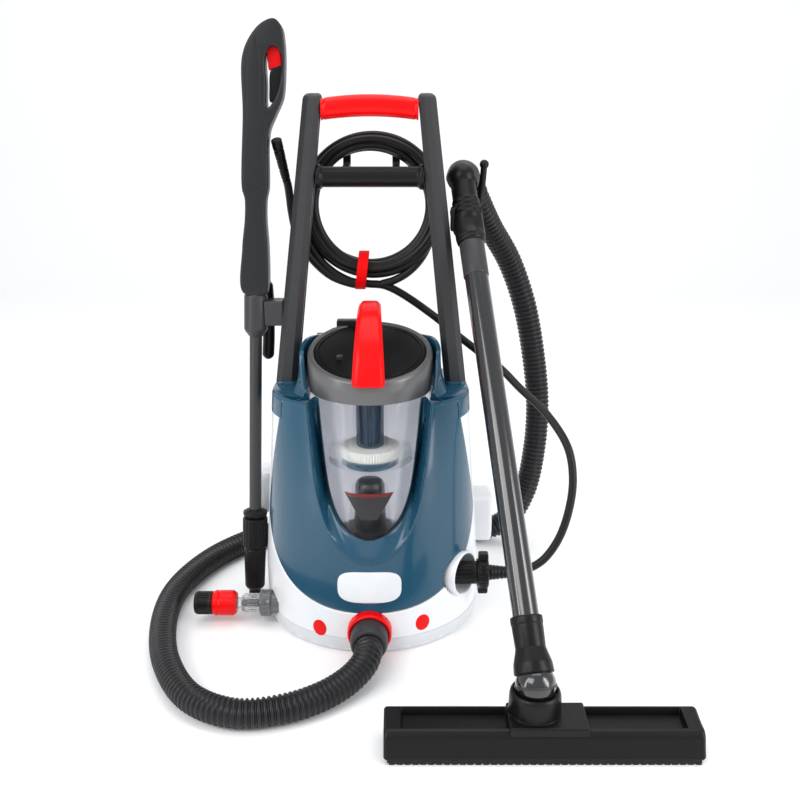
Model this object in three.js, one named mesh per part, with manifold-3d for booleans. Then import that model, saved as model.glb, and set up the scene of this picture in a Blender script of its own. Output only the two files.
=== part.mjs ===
// Three-in-one cleaning machine: high-pressure washer, wet and dry vacuum, and blower on one base.
// Millimetres, +X right, +Y to the back, +Z up. Origin: centre of the base's flat underside.
import * as THREE from 'three';
import { mergeVertices } from 'three/addons/utils/BufferGeometryUtils.js';
import Module from 'manifold-3d';

const wasm = await Module();
wasm.setup();

// ---- Driving dimensions -------------------------------------------------------------------------
const GAP = 0.3;              // clearance between touching pieces
const WALL = 3;               // moulded shell wall

const BODY_SIDE = 153.5;      // half width at the widest height
const BODY_SIDE_Z = 80;       // height where the sides start to draw in
const BODY_DRAFT = 0.0657;    // inward draft of the sides above that height
const BODY_FRONT = 148;       // front depth at the floor
const FRONT_DRAFT = 0.00463;  // how fast the front leans back
const FRONT_POWER = 1.6;
const BODY_REAR = 134;        // rear depth at the floor
const REAR_DRAFT = 0.05;
const REAR_SQUARE = 2.8;      // superellipse exponent of the back
const FOOT_INSET = 5;         // the pan's tucked-in lower edge

const PAN_TOP = 22;           // seam between pan and lower housing
const SPLIT_FRONT = 61;       // blue and white seam at the front
const SPLIT_RISE = 105;       // how much that seam climbs towards the sides
const SPLIT_POWER = 2.6;
const SEAM = 0.9;             // open seam between the two housings
const SHELL_EDGE_LOW = 80;    // angle of the front shell's edge at its foot, degrees from the front
const SHELL_EDGE_TOP = 60;    // the same at the shoulder
const SHOULDER_Z = 331;       // top of the shells
const DECK_THICK = 5;

const TANK_FLOOR = 150;
const TANK_TOP = 338;
const TANK_R_LOW = 50;
const TANK_R_TOP = 79;
const TANK_SETBACK = 5;       // tank face behind the shell's front
const TANK_WALL = 2.5;
const LIP_GAP = 6;            // shell lip to tank face

const WINDOW_HALF = TANK_R_TOP - 8;    // tank window, half width at the top
const WINDOW_TIP = 163;       // height of its rounded tip
const WINDOW_HIGH = 173;      // height from tip to top
const WINDOW_FLARE = 0.25;     // share of its width gained from tip to top
const WINDOW_ROUND = 6;        // how square its tip is
const CREASE_HALF = WINDOW_HALF + 13;  // raised collar round the window
const CREASE_TIP = 130;
const CREASE_HIGH = 200;
const CREASE_FLARE = 0.2;
const CREASE_ROUND = 4;

const LID_R = TANK_R_TOP + 7;
const LID_Z = 391;            // rim height at the lid's centre
const LID_SLOPE = 0.25;       // rise towards the back
const LID_DISC_R = LID_R - 9;
const LID_MOUTH_R = LID_R - 22;
const LID_DISC_THICK = 6;
const COWL_IN = LID_R + 4.5;
const COWL_OUT = COWL_IN + 6.5;
const COWL_OPEN = 72;         // half angle of the cowl's front opening, degrees

const PORT_Z = 35;
const CUFF_R = 25;
const PORT_R = CUFF_R + 5;
const PORT_Y = -142;
const CUFF_END = -186;
const OUTLET = [0, -78, 88];
const OUTLET_R = 31;
const INLET = [0, -60, 30];
const INLET_R = 19;
const CONNECTOR_R = 18;

const RAIL_FOOT = [COWL_OUT + 22, 30];  // upright centre at the shoulder, x and y
const RAIL_HEAD = [RAIL_FOOT[0] - 42, 80];   // and at the top
const RAIL_TOP = 727;
const RAIL_WIDE = 30;
const RAIL_WIDE_TOP = 24;
const RAIL_DEEP = 44;
const RAIL_CHAMFER = 8;
const CROSSBAR_Z = 617;
const CROSSBAR_R = 14;
const GRIP_Z = RAIL_TOP - 21;
const GRIP_R = 17;
const GRIP_BOW = 5;

const WHEEL_R = 38;
const WHEEL_Y = 140;
const WHEEL_X = BODY_SIDE - 18.5;      // centre of each wheel
const WHEEL_WIDE = 22;
const AXLE_R = 4;

const HP_R = 5.75;            // high-pressure hose radius
const COIL_IN = 74;
const COIL_OUT = 106;
const COIL_DEEP = 26;
const COIL = [0, 113, CROSSBAR_Z - 44];
const VAC_R = 18.5;           // corrugated hose radius

const LANCE_TIP = [-BODY_SIDE - 22.5, -2, 8];
const LANCE_TOP = [5.5 - BODY_SIDE, 78, 823];
const LANCE_R = 9;
const GUN_DEEP = 32;

const WAND_FOOT = [BODY_SIDE + 39.5, -300, 120];
const WAND_HEAD_Z = 613;
const WAND_OUT = 38.736;       // wand head outside the upright's centre line
const WAND_R = 16;
const NECK_BALL = [WAND_FOOT[0] + 5.5, -333.6, 78.1];
const NOZZLE_HALF = 184;
const NOZZLE_X = NECK_BALL[0] + 7.5;
const NOZZLE_FRONT = -380;
const NOZZLE_BACK = -316;
const NOZZLE_TOP = 42;
const BRUSH_HIGH = 7;

// ---- Small tools --------------------------------------------------------------------------------
const rad = THREE.MathUtils.degToRad;
const lerp = THREE.MathUtils.lerp;
const vec = (x, y, z) => new THREE.Vector3(x, y, z);
const model = new THREE.Group();

function add(name, geometry, colour, roughness, metalness = 0) {
  const material = new THREE.MeshStandardMaterial({ color: colour, roughness, metalness });
  const mesh = new THREE.Mesh(geometry, material);
  mesh.name = name;
  model.add(mesh);
  return mesh;
}

// Signed volume of an indexed geometry; positive when its faces point out.
function volume(geometry) {
  const p = geometry.attributes.position;
  const ids = geometry.index.array;
  let total = 0;
  for (let i = 0; i < ids.length; i += 3) {
    const a = vec(0, 0, 0).fromBufferAttribute(p, ids[i]);
    const b = vec(0, 0, 0).fromBufferAttribute(p, ids[i + 1]);
    const c = vec(0, 0, 0).fromBufferAttribute(p, ids[i + 2]);
    total += a.dot(b.cross(c)) / 6;
  }
  return total;
}

function build(points, faces) {
  const geometry = new THREE.BufferGeometry();
  geometry.setAttribute('position', new THREE.Float32BufferAttribute(points.flatMap((p) => [p.x, p.y, p.z]), 3));
  geometry.setIndex(faces);
  const merged = mergeVertices(geometry, 1e-4);
  if (volume(merged) < 0) {
    const ids = Array.from(merged.index.array);
    for (let i = 0; i < ids.length; i += 3) {
      [ids[i], ids[i + 1]] = [ids[i + 1], ids[i]];
    }
    merged.setIndex(ids);
  }
  return merged;
}

function quad(faces, a, b, c, d) {
  faces.push(a, b, c, a, c, d);
}

// Skin over closed rings of equal count, with a fan cap at each end.
function loft(rings) {
  const n = rings[0].length;
  const points = rings.flat();
  const faces = [];
  for (let i = 0; i + 1 < rings.length; i += 1) {
    for (let j = 0; j < n; j += 1) {
      const k = (j + 1) % n;
      quad(faces, i * n + j, i * n + k, (i + 1) * n + k, (i + 1) * n + j);
    }
  }
  const ends = [[0, 1], [rings.length - 1, -1]];
  for (const [ring, turn] of ends) {
    const centre = vec(0, 0, 0);
    rings[ring].forEach((p) => centre.addScaledVector(p, 1 / n));
    points.push(centre);
    for (let j = 0; j < n; j += 1) {
      const a = ring * n + j;
      const b = ring * n + (j + 1) % n;
      faces.push(points.length - 1, turn > 0 ? b : a, turn > 0 ? a : b);
    }
  }
  return build(points, faces);
}

// Walled skin: each column is an outer line and an inner line of the same count, bottom to top.
function walled(columns, loop) {
  const m = columns[0].outer.length;
  const points = columns.flatMap((c) => [...c.outer, ...c.inner]);
  const faces = [];
  const id = (c, r, inner) => (c % columns.length) * 2 * m + (inner ? m : 0) + r;
  const last = loop ? columns.length : columns.length - 1;
  for (let c = 0; c < last; c += 1) {
    for (let r = 0; r + 1 < m; r += 1) {
      quad(faces, id(c, r, 0), id(c + 1, r, 0), id(c + 1, r + 1, 0), id(c, r + 1, 0));
      quad(faces, id(c, r, 1), id(c, r + 1, 1), id(c + 1, r + 1, 1), id(c + 1, r, 1));
    }
    quad(faces, id(c, m - 1, 0), id(c + 1, m - 1, 0), id(c + 1, m - 1, 1), id(c, m - 1, 1));
    quad(faces, id(c, 0, 0), id(c, 0, 1), id(c + 1, 0, 1), id(c + 1, 0, 0));
  }
  if (!loop) {
    const end = columns.length - 1;
    for (let r = 0; r + 1 < m; r += 1) {
      quad(faces, id(0, r, 0), id(0, r + 1, 0), id(0, r + 1, 1), id(0, r, 1));
      quad(faces, id(end, r, 0), id(end, r, 1), id(end, r + 1, 1), id(end, r + 1, 0));
    }
  }
  return build(points, faces);
}

function manifold(geometry) {
  const clean = geometry.clone();
  clean.deleteAttribute('normal');
  clean.deleteAttribute('uv');
  const merged = mergeVertices(clean, 1e-4);
  return new wasm.Manifold(new wasm.Mesh({
    numProp: 3,
    vertProperties: new Float32Array(merged.attributes.position.array),
    triVerts: new Uint32Array(merged.index.array),
  }));
}

function fromManifold(solid) {
  const mesh = solid.getMesh();
  const geometry = new THREE.BufferGeometry();
  geometry.setAttribute('position', new THREE.BufferAttribute(new Float32Array(mesh.vertProperties), 3));
  geometry.setIndex(new THREE.BufferAttribute(new Uint32Array(mesh.triVerts), 1));
  return geometry;
}

function cut(geometry, ...tools) {
  let solid = manifold(geometry);
  tools.forEach((tool) => {
    solid = solid.subtract(manifold(tool));
  });
  return fromManifold(solid);
}

function join(geometry, ...others) {
  let solid = manifold(geometry);
  others.forEach((other) => {
    solid = solid.add(manifold(other));
  });
  return fromManifold(solid);
}

function box(x0, x1, y0, y1, z0, z1) {
  const geometry = new THREE.BoxGeometry(x1 - x0, y1 - y0, z1 - z0);
  return geometry.translate((x0 + x1) / 2, (y0 + y1) / 2, (z0 + z1) / 2);
}

// Solid of revolution: profile pairs are [radius, distance], turned about the line from start along way.
function turned(profile, start, way, segments = 16) {
  const geometry = new THREE.LatheGeometry(profile.map(([r, h]) => new THREE.Vector2(r, h)), segments);
  const turn = new THREE.Quaternion().setFromUnitVectors(vec(0, 1, 0), way.clone().normalize());
  geometry.applyQuaternion(turn);
  geometry.translate(start.x, start.y, start.z);
  return geometry;
}

const rod = (radius, start, end, segments = 16) => turned(
  [[0, 0], [radius, 0], [radius, start.distanceTo(end)], [0, start.distanceTo(end)]],
  start, end.clone().sub(start), segments);

// Outline in x and z, extruded along y from y0 to y1.
function slab(points, y0, y1, holes = []) {
  const shape = new THREE.Shape(points.map(([x, z]) => new THREE.Vector2(x, z)));
  holes.forEach((hole) => shape.holes.push(new THREE.Path(hole.map(([x, z]) => new THREE.Vector2(x, z)))));
  const geometry = new THREE.ExtrudeGeometry(shape, { depth: y1 - y0, bevelEnabled: false });
  geometry.rotateX(Math.PI / 2);
  return geometry.translate(0, y1, 0);
}

// Round cord or hose along hand-chosen points.
function hose(points, radius, sides, steps) {
  const path = new THREE.CatmullRomCurve3(points.map(([x, y, z]) => vec(x, y, z)), false, 'centripetal');
  const shape = new THREE.Shape();
  for (let i = 0; i < sides; i += 1) {
    const turn = (i / sides) * 2 * Math.PI;
    shape[i ? 'lineTo' : 'moveTo'](radius * Math.cos(turn), radius * Math.sin(turn));
  }
  shape.closePath();
  return new THREE.ExtrudeGeometry(shape, { steps, extrudePath: path, bevelEnabled: false });
}

const range = (n) => Array.from({ length: n + 1 }, (_, i) => i / n);

// ---- Body surface -------------------------------------------------------------------------------
const sideHalf = (z) => BODY_SIDE - BODY_DRAFT * Math.max(0, z - BODY_SIDE_Z);
const frontDepth = (z) => BODY_FRONT - FRONT_DRAFT * z ** FRONT_POWER;
const rearDepth = (z) => BODY_REAR - REAR_DRAFT * z;

// Point of the body's outer skin at an angle from the front, moved in by inset.
function bodyPoint(angle, z, inset) {
  const s = Math.sin(angle);
  const c = Math.cos(angle);
  const a = sideHalf(z) - inset;
  if (c >= 0) {
    return vec(a * s, -(frontDepth(z) - inset) * c, z);
  }
  const power = 2 / REAR_SQUARE;
  return vec(a * Math.sign(s) * Math.abs(s) ** power, (rearDepth(z) - inset) * Math.abs(c) ** power, z);
}

// Back face of the body at a distance x from its middle.
const rearFace = (x, z) => rearDepth(z) * (1 - (x / sideHalf(z)) ** REAR_SQUARE) ** (1 / REAR_SQUARE);

const splitZ = (angle) => {
  const share = Math.min(Math.abs(angle) / rad(SHELL_EDGE_LOW), 1);
  return SPLIT_FRONT + SPLIT_RISE * share ** SPLIT_POWER;
};

const tankRadius = (z) => lerp(TANK_R_LOW, TANK_R_TOP, (z - TANK_FLOOR) / (TANK_TOP - TANK_FLOOR));
const tankCentre = (z) => TANK_SETBACK - frontDepth(z) + tankRadius(z);
const LID_Y = tankCentre(TANK_TOP) + 2.4;
const COWL_Y = LID_Y + 2;
const tankFace = (x, z) => tankCentre(z) - Math.sqrt(Math.max(0, tankRadius(z) ** 2 - x * x));

// Half width of the outline that lies a share t of the way from the collar's crease to the window.
function outlineHalf(t, z) {
  const rise = (z - lerp(CREASE_TIP, WINDOW_TIP, t)) / lerp(CREASE_HIGH, WINDOW_HIGH, t);
  const u = Math.min(1, Math.max(0, rise));
  const flare = lerp(1, u, lerp(CREASE_FLARE, WINDOW_FLARE, t));
  const round = Math.sqrt(1 - (1 - u) ** lerp(CREASE_ROUND, WINDOW_ROUND, t));
  return lerp(CREASE_HALF, WINDOW_HALF, t) * flare * round;
}

function collarShare(x, z) {
  if (Math.abs(x) >= outlineHalf(0, z)) {
    return 0;
  }
  let low = 0;
  let high = 1;
  for (let i = 0; i < 14; i += 1) {
    const middle = (low + high) / 2;
    if (Math.abs(x) < outlineHalf(middle, z)) {
      low = middle;
    } else {
      high = middle;
    }
  }
  return low;
}

function shellPoint(angle, z, inset) {
  const p = bodyPoint(angle, z, inset);
  const share = collarShare(p.x, z);
  p.y = lerp(p.y, tankFace(p.x, z) - LIP_GAP - WALL + inset, share * share * (3 - 2 * share));
  return p;
}

// ---- Base and shells ----------------------------------------------------------------------------
const ROUND = 36;

// Round rooms that the port, the outlet and the inlet pass through.
const portRoom = rod(PORT_R + GAP, vec(0, -100, PORT_Z), vec(0, -200, PORT_Z), 24);
const outletAt = (out) => vec(BODY_SIDE + out, OUTLET[1], OUTLET[2]);
const inletAt = (out) => vec(-BODY_SIDE - out, INLET[1], INLET[2]);
const outletRoom = rod(OUTLET_R + GAP, outletAt(-58.5), outletAt(26.5), 24);
const inletRoom = rod(INLET_R + GAP, inletAt(-53.5), inletAt(26.5), 20);

function basePan() {
  const levels = [[0, FOOT_INSET], [6, 1], [PAN_TOP, 0]];
  const rings = levels.map(([z, inset]) => range(ROUND).slice(0, ROUND)
    .map((t) => bodyPoint((t * 2 - 1) * Math.PI, z, inset)));
  const well = [4, PAN_TOP + 1].map((z) => range(ROUND).slice(0, ROUND)
    .map((t) => bodyPoint((t * 2 - 1) * Math.PI, z, FOOT_INSET + WALL)));
  const lug = (x) => {
    const inner = WHEEL_Y - 52;
    const outside = WHEEL_Y - 27;
    const outline = [[inner, 5], [WHEEL_Y + 9, 22], [WHEEL_Y + 9, WHEEL_R + 10], [WHEEL_Y - 9, WHEEL_R + 10],
      [outside, PAN_TOP + 8], [outside, PAN_TOP - 1], [inner, PAN_TOP - 1]];
    const shape = new THREE.Shape(outline.map(([y, z]) => new THREE.Vector2(y, z)));
    const geometry = new THREE.ExtrudeGeometry(shape, { depth: 8, bevelEnabled: false });
    geometry.applyMatrix4(new THREE.Matrix4().set(0, 0, 1, x, 1, 0, 0, 0, 0, 1, 0, 0, 0, 0, 0, 1));
    return geometry;
  };
  const bore = rod(AXLE_R + GAP, vec(-BODY_SIDE, WHEEL_Y, WHEEL_R), vec(BODY_SIDE, WHEEL_Y, WHEEL_R), 16);
  return cut(join(cut(loft(rings), loft(well)), lug(WHEEL_X - 23), lug(15 - WHEEL_X)), bore, portRoom, inletRoom);
}

function shellColumn(angle, low, high, rows, point) {
  const levels = range(rows).map((t) => lerp(low, high, t));
  return {
    outer: levels.map((z) => point(angle, z, 0)),
    inner: levels.map((z) => point(angle, z, WALL)),
  };
}

function baseHousing() {
  const columns = range(44).slice(0, 44).map((t) => {
    const angle = (t * 2 - 1) * Math.PI;
    return shellColumn(angle, PAN_TOP + GAP, splitZ(angle) - SEAM, 3, bodyPoint);
  });
  return cut(walled(columns, true), portRoom, outletRoom, inletRoom);
}

const shellEdge = (share) => rad(lerp(SHELL_EDGE_LOW, SHELL_EDGE_TOP, share));

function frontShell() {
  const rows = 11;
  const columns = range(32).map((t) => {
    const side = t * 2 - 1;
    const low = splitZ(side * rad(SHELL_EDGE_LOW)) + GAP / 2;
    const levels = range(rows).map((u) => lerp(low, SHOULDER_Z, u));
    const line = (inset) => levels.map((z) => {
      const share = Math.max(0, (z - SPLIT_FRONT - SPLIT_RISE) / (SHOULDER_Z - SPLIT_FRONT - SPLIT_RISE));
      return shellPoint(side * shellEdge(share), z, inset);
    });
    return { outer: line(0), inner: line(WALL) };
  });
  const outline = range(16).map((t) => {
    const z = WINDOW_TIP + (1 - t) ** 2 * (WINDOW_HIGH + 30);
    return [outlineHalf(1, z), z];
  });
  const mirror = outline.slice(0, -1).reverse().map(([x, z]) => [-x, z]);
  return cut(walled(columns, false), slab([...outline, ...mirror], -200, 0), portRoom, outletRoom);
}

function rearHousing() {
  const low = SPLIT_FRONT + SPLIT_RISE + GAP / 2;
  const columns = range(24).map((t) => {
    const levels = range(3).map((u) => lerp(low, SHOULDER_Z, u));
    const line = (inset) => levels.map((z) => {
      const share = (z - low) / (SHOULDER_Z - low);
      const edge = shellEdge(share) + rad(0.3);
      return bodyPoint(lerp(edge, 2 * Math.PI - edge, t), z, inset);
    });
    return { outer: line(0), inner: line(WALL) };
  });
  return walled(columns, false);
}

const lidPlane = (y) => LID_Z + LID_SLOPE * (y - LID_Y);

function topCowl() {
  const columns = range(28).map((t) => {
    const angle = lerp(rad(COWL_OPEN), 2 * Math.PI - rad(COWL_OPEN), t);
    const line = (radius) => {
      const x = radius * Math.sin(angle);
      const y = COWL_Y - radius * Math.cos(angle);
      return [SHOULDER_Z + GAP, SHOULDER_Z + 30, lidPlane(y) + 2].map((z) => vec(x, y, z));
    };
    return { outer: line(COWL_OUT), inner: line(COWL_IN) };
  });
  const deck = [0, DECK_THICK].map((rise) => range(ROUND).slice(0, ROUND)
    .map((t) => bodyPoint((t * 2 - 1) * Math.PI, SHOULDER_Z + GAP + rise, rise * 0.4)));
  const well = rod(COWL_IN + 1, vec(0, COWL_Y, 300), vec(0, COWL_Y, 360), 40);
  return join(cut(loft(deck), well, box(-WINDOW_HALF - 3, WINDOW_HALF + 3, -200, COWL_Y, 300, 360)), walled(columns, false));
}

const WHITE = 0xf1f3f4;
const BLUE = 0x2c5973;
const RED = 0xe4141c;
const BLACK = 0x17181a;
const GRAPHITE = 0x45474a;

add('base_pan', basePan(), 0xdadddf, 0.4);
add('base_housing', baseHousing(), WHITE, 0.25);
add('front_shell', frontShell(), BLUE, 0.22);
add('rear_housing', rearHousing(), WHITE, 0.25);
add('top_cowl', topCowl(), BLUE, 0.22);

function badge() {
  const half = 43;
  const high = 22;
  const columns = range(10).map((t) => {
    const x = lerp(-half, half, t);
    const end = Math.max(0.2, 1 - (Math.abs(x) / half) ** 6) * high;
    const line = (out) => [-1, 1].map((side) => {
      const z = 98 + side * end;
      const y = -frontDepth(z) * Math.sqrt(1 - (x / sideHalf(z)) ** 2);
      return vec(x, y - out, z);
    });
    return { outer: line(2.2), inner: line(0.7) };
  });
  return walled(columns, false);
}
add('badge_plate', badge(), 0xffffff, 0.3);

// Two side bulges of the housing behind the shoulders.
function pod(side, reach, y0, y1, z0, z1) {
  const root = (z) => Math.abs(bodyPoint(rad(90), z, 0).x) + GAP;
  const ring = (share, inset) => range(16).slice(0, 16).map((t) => {
    const turn = t * 2 * Math.PI;
    const round = (v) => Math.sign(v) * Math.abs(v) ** 0.5;
    const y = (y0 + y1) / 2 + round(Math.cos(turn)) * ((y1 - y0) / 2 - inset);
    const z = (z0 + z1) / 2 + round(Math.sin(turn)) * ((z1 - z0) / 2 - inset);
    return vec(side * lerp(root(z), reach, share), y, z);
  });
  return loft([ring(0, 0), ring(0.7, 1), ring(1, 8)]);
}
add('side_pod_right', pod(1, BODY_SIDE + 24.5, 28, 96, 78, 154), WHITE, 0.25);
add('side_pod_left', pod(-1, BODY_SIDE + 15.5, 34, 96, 122, 192), WHITE, 0.25);

// ---- Front port and its turning cuff ------------------------------------------------------------
const FORWARD = vec(0, -1, 0);
function ringProfile(inner, outer, from, to) {
  return [[inner, from], [outer, from], [outer, to], [inner, to], [inner, from]];
}
add('port_ring', turned(ringProfile(CUFF_R + GAP, PORT_R, 0, 16), vec(0, PORT_Y, PORT_Z), FORWARD, 24), RED, 0.3);
const cuffLength = PORT_Y + 30 - CUFF_END;
add('front_cuff', turned(
  [[VAC_R, 0], [CUFF_R, 0], [CUFF_R, cuffLength - 8], [CUFF_R - 3, cuffLength], [VAC_R, cuffLength], [VAC_R, 0]],
  vec(0, PORT_Y + 30, PORT_Z), FORWARD, 24), 0x3c3e40, 0.55);

// ---- High-pressure outlet -----------------------------------------------------------------------
const RIGHT = vec(1, 0, 0);
add('outlet_bezel', turned([[16.3, 0], [OUTLET_R, 0], [OUTLET_R, 26], [OUTLET_R - 4, 30], [OUTLET_R - 6, 30],
  [OUTLET_R - 6, 8], [16.3, 6], [16.3, 0]], outletAt(-49.5), RIGHT, 20), WHITE, 0.3);
add('outlet_socket', turned([[0, 0], [16, 0], [16, 50], [11, 50], [11, 56], [0, 56]],
  outletAt(-55.5), RIGHT), BLACK, 0.5);
function outletNut() {
  const flange = turned([[11 + GAP, 0], [19, 0], [19, 2], [22, 2], [22, 15], [13, 17], [11 + GAP, 17],
    [11 + GAP, 0]], outletAt(GAP - 5.5), RIGHT);
  const wings = [-1, 1].map((side) => box(BODY_SIDE - 3.5, BODY_SIDE + 10.5, OUTLET[1] - 7, OUTLET[1] + 7,
    OUTLET[2] + Math.min(side * 17, side * 30), OUTLET[2] + Math.max(side * 17, side * 30)));
  return join(flange, ...wings);
}
add('outlet_nut', outletNut(), BLACK, 0.5);
add('outlet_sleeve', turned([[0, 0], [10.7, 0], [10.7, 14], [8, 40], [0, 40]],
  outletAt(0.5 + 2 * GAP), RIGHT), BLACK, 0.6);

// ---- Water inlet --------------------------------------------------------------------------------
const LEFT = vec(-1, 0, 0);
add('inlet_flange', turned([[0, 0], [16, 0], [16, 30], [INLET_R, 30], [INLET_R, 43], [14, 45], [0, 45]],
  inletAt(-39.5), LEFT), 0x3a3d3e, 0.4);
add('inlet_adapter', turned([[0, 0], [13.5, 0], [13.5, 22], [11, 26], [8, 26], [8, 66], [0, 66]],
  inletAt(5.5 + GAP), LEFT), 0xc9cfd0, 0.15);
add('connector_sleeve', turned([[8 + GAP, 0], [15, 0], [CONNECTOR_R, 4], [CONNECTOR_R, 30], [15.5, 34],
  [8 + GAP, 34], [8 + GAP, 0]], inletAt(39.5), LEFT), RED, 0.3);
add('connector_nut', turned([[0, 0], [16.5, 0], [16.5, 22], [14, 25.5], [9, 25.5], [9, 12], [0, 12]],
  inletAt(73.5 + GAP), LEFT), BLACK, 0.5);

// ---- Handle frame -------------------------------------------------------------------------------
const railBase = SHOULDER_Z + DECK_THICK + 2 * GAP;
const railAt = (z) => {
  const t = (z - railBase) / (RAIL_TOP - railBase);
  return { x: lerp(RAIL_FOOT[0], RAIL_HEAD[0], t), y: lerp(RAIL_FOOT[1], RAIL_HEAD[1], t),
    half: lerp(RAIL_WIDE, RAIL_WIDE_TOP, t) / 2 };
};

function rail(side) {
  const ring = (z, inset) => {
    const at = railAt(z);
    const w = at.half - inset;
    const d = RAIL_DEEP / 2 - inset;
    const c = RAIL_CHAMFER;
    const corners = [[w, -d + c], [w, d - 3], [w - 3, d], [-w + 3, d], [-w, d - 3], [-w, -d + c],
      [-w + c, -d], [w - c, -d]];
    return corners.map(([x, y]) => vec(side * (at.x + x), at.y + y, z));
  };
  const levels = [railBase, 430, 530, 630, RAIL_TOP - 8].map((z) => ring(z, 0));
  return loft([...levels, ring(RAIL_TOP, 5)]);
}
add('upright_right', rail(1), GRAPHITE, 0.5);
add('upright_left', rail(-1), GRAPHITE, 0.5);

// Reach from the middle to an upright's inner face at height z, less the clearance.
const between = (z) => railAt(z).x - railAt(z).half - GAP;

function crossbar() {
  const y = railAt(CROSSBAR_Z).y;
  const reach = between(CROSSBAR_Z - CROSSBAR_R);
  const top = between(CROSSBAR_Z + CROSSBAR_R + 3);
  const half = Math.min(reach, top);
  const bar = turned([[0, -half], [17, -half], [17, 5 - half], [CROSSBAR_R, 9 - half], [CROSSBAR_R, half - 9],
    [17, half - 5], [17, half], [0, half]], vec(0, y, CROSSBAR_Z), RIGHT);
  const hook = (x) => {
    const back = COIL[1] + COIL_DEEP / 2 + 13;
    const outline = [[y + 8, CROSSBAR_Z], [back + 8, CROSSBAR_Z + 4], [back + 8, CROSSBAR_Z + 34],
      [back, CROSSBAR_Z + 34], [back, CROSSBAR_Z + 14], [y + 8, CROSSBAR_Z + 11]];
    const shape = new THREE.Shape(outline.map(([a, b]) => new THREE.Vector2(a, b)));
    const geometry = new THREE.ExtrudeGeometry(shape, { depth: 11, bevelEnabled: false });
    return geometry.applyMatrix4(new THREE.Matrix4().set(0, 0, 1, x, 1, 0, 0, 0, 0, 1, 0, 0, 0, 0, 0, 1));
  };
  return join(bar, hook(30), hook(-41));
}
add('crossbar', crossbar(), BLACK, 0.5);

function grip() {
  const reach = between(GRIP_Z + GRIP_R) - 1;
  const y = railAt(GRIP_Z).y;
  const rings = range(12).map((t) => {
    const u = t * 2 - 1;
    const centre = vec(u * reach, y, GRIP_Z + GRIP_BOW * (1 - u * u));
    return range(20).slice(0, 20).map((s) => {
      const turn = s * 2 * Math.PI;
      return centre.clone().add(vec(0, GRIP_R * Math.cos(turn), GRIP_R * 0.85 * Math.sin(turn)));
    });
  });
  return loft(rings);
}
add('grip', grip(), RED, 0.35);

// ---- Wheels -------------------------------------------------------------------------------------
add('wheel_axle', rod(AXLE_R, vec(-WHEEL_X - 14, WHEEL_Y, WHEEL_R), vec(WHEEL_X + 14, WHEEL_Y, WHEEL_R), 16),
  0x9a9c9e, 0.3, 0.9);
for (const [side, word] of [[1, 'right'], [-1, 'left']]) {
  const start = vec(side * (WHEEL_X - WHEEL_WIDE / 2), WHEEL_Y, WHEEL_R);
  const w = WHEEL_WIDE;
  add(`wheel_hub_${word}`, turned([[AXLE_R + 0.1, 0], [28, 0], [28, w], [24, w], [22, w - 4], [10, w - 2],
    [AXLE_R + 0.1, w - 2], [AXLE_R + 0.1, 0]], start, vec(side, 0, 0), 24), WHITE, 0.4);
  add(`tyre_${word}`, turned([[28 + GAP, 0], [WHEEL_R - 3, 0], [WHEEL_R, 4], [WHEEL_R, w - 4], [WHEEL_R - 3, w],
    [28 + GAP, w], [28 + GAP, 0]], start, vec(side, 0, 0), 24), 0x222222, 0.8);
}

// ---- Pump, motors, switch and cable gland -------------------------------------------------------
add('pump_head', box(26, 88, -98, -50, 52, 116), 0x9fa3a6, 0.4, 0.8);
add('pump_motor', rod(32, vec(-84, -78, 84), vec(26 - GAP, -78, 84)), 0x6d7073, 0.4, 0.7);
add('vacuum_motor', turned([[0, 0], [52, 0], [52, 30], [40, 34], [40, 96], [0, 96]], vec(0, 62, 30), vec(0, 0, 1), 20),
  0x7c8083, 0.45, 0.6);
const SWITCH_Y = COWL_Y + COWL_OUT + 12;
const SWITCH_DROP = 26;       // housing top below the lid's back edge, so that the lid hides it
const switchTop = lidPlane(COWL_Y + COWL_OUT) - SWITCH_DROP;
add('switch_housing', box(-82, -34, SWITCH_Y - 10, SWITCH_Y + 10, SHOULDER_Z + DECK_THICK + 2 * GAP, switchTop - 4), BLACK, 0.5);
const knob = turned([[0, 0], [9, 0], [8.5, 4], [0, 4]], vec(-58, SWITCH_Y, switchTop - 4 + GAP), vec(0, 0, 1), 20);
add('power_switch', join(knob, box(-60, -56, SWITCH_Y - 7.5, SWITCH_Y + 7.5, switchTop - 1, switchTop + 4)), RED, 0.4);
add('cable_gland', turned([[0, 0], [11, 0], [11, 6], [7, 8], [6, 26], [0, 26]],
  vec(60, rearFace(49, 100) + GAP, 100), vec(0, 1, 0)), BLACK, 0.6);

// ---- Dust tank, filter and lid ------------------------------------------------------------------
const circle = (radius, x, y, height, n = ROUND) => range(n).slice(0, n).map((t) => {
  const turn = t * 2 * Math.PI;
  const py = y - radius * Math.cos(turn);
  return vec(x + radius * Math.sin(turn), py, typeof height === 'function' ? height(py) : height);
});

function dustTank() {
  const levels = range(5).map((t) => lerp(TANK_FLOOR + 8, TANK_TOP, t));
  const ring = (z, inset) => circle(tankRadius(z) - inset, 0, tankCentre(z), z);
  const outside = [circle(tankRadius(TANK_FLOOR) - 10, 0, tankCentre(TANK_FLOOR), TANK_FLOOR),
    ...levels.map((z) => ring(z, 0))];
  const inside = [circle(tankRadius(TANK_FLOOR) - 12, 0, tankCentre(TANK_FLOOR), TANK_FLOOR + 3),
    ...levels.map((z) => ring(z, TANK_WALL)), circle(TANK_R_TOP - TANK_WALL, 0, tankCentre(TANK_TOP), 345)];
  return cut(loft(outside), loft(inside));
}
add('dust_tank', dustTank(), 0xb8c4c8, 0.1);

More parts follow.
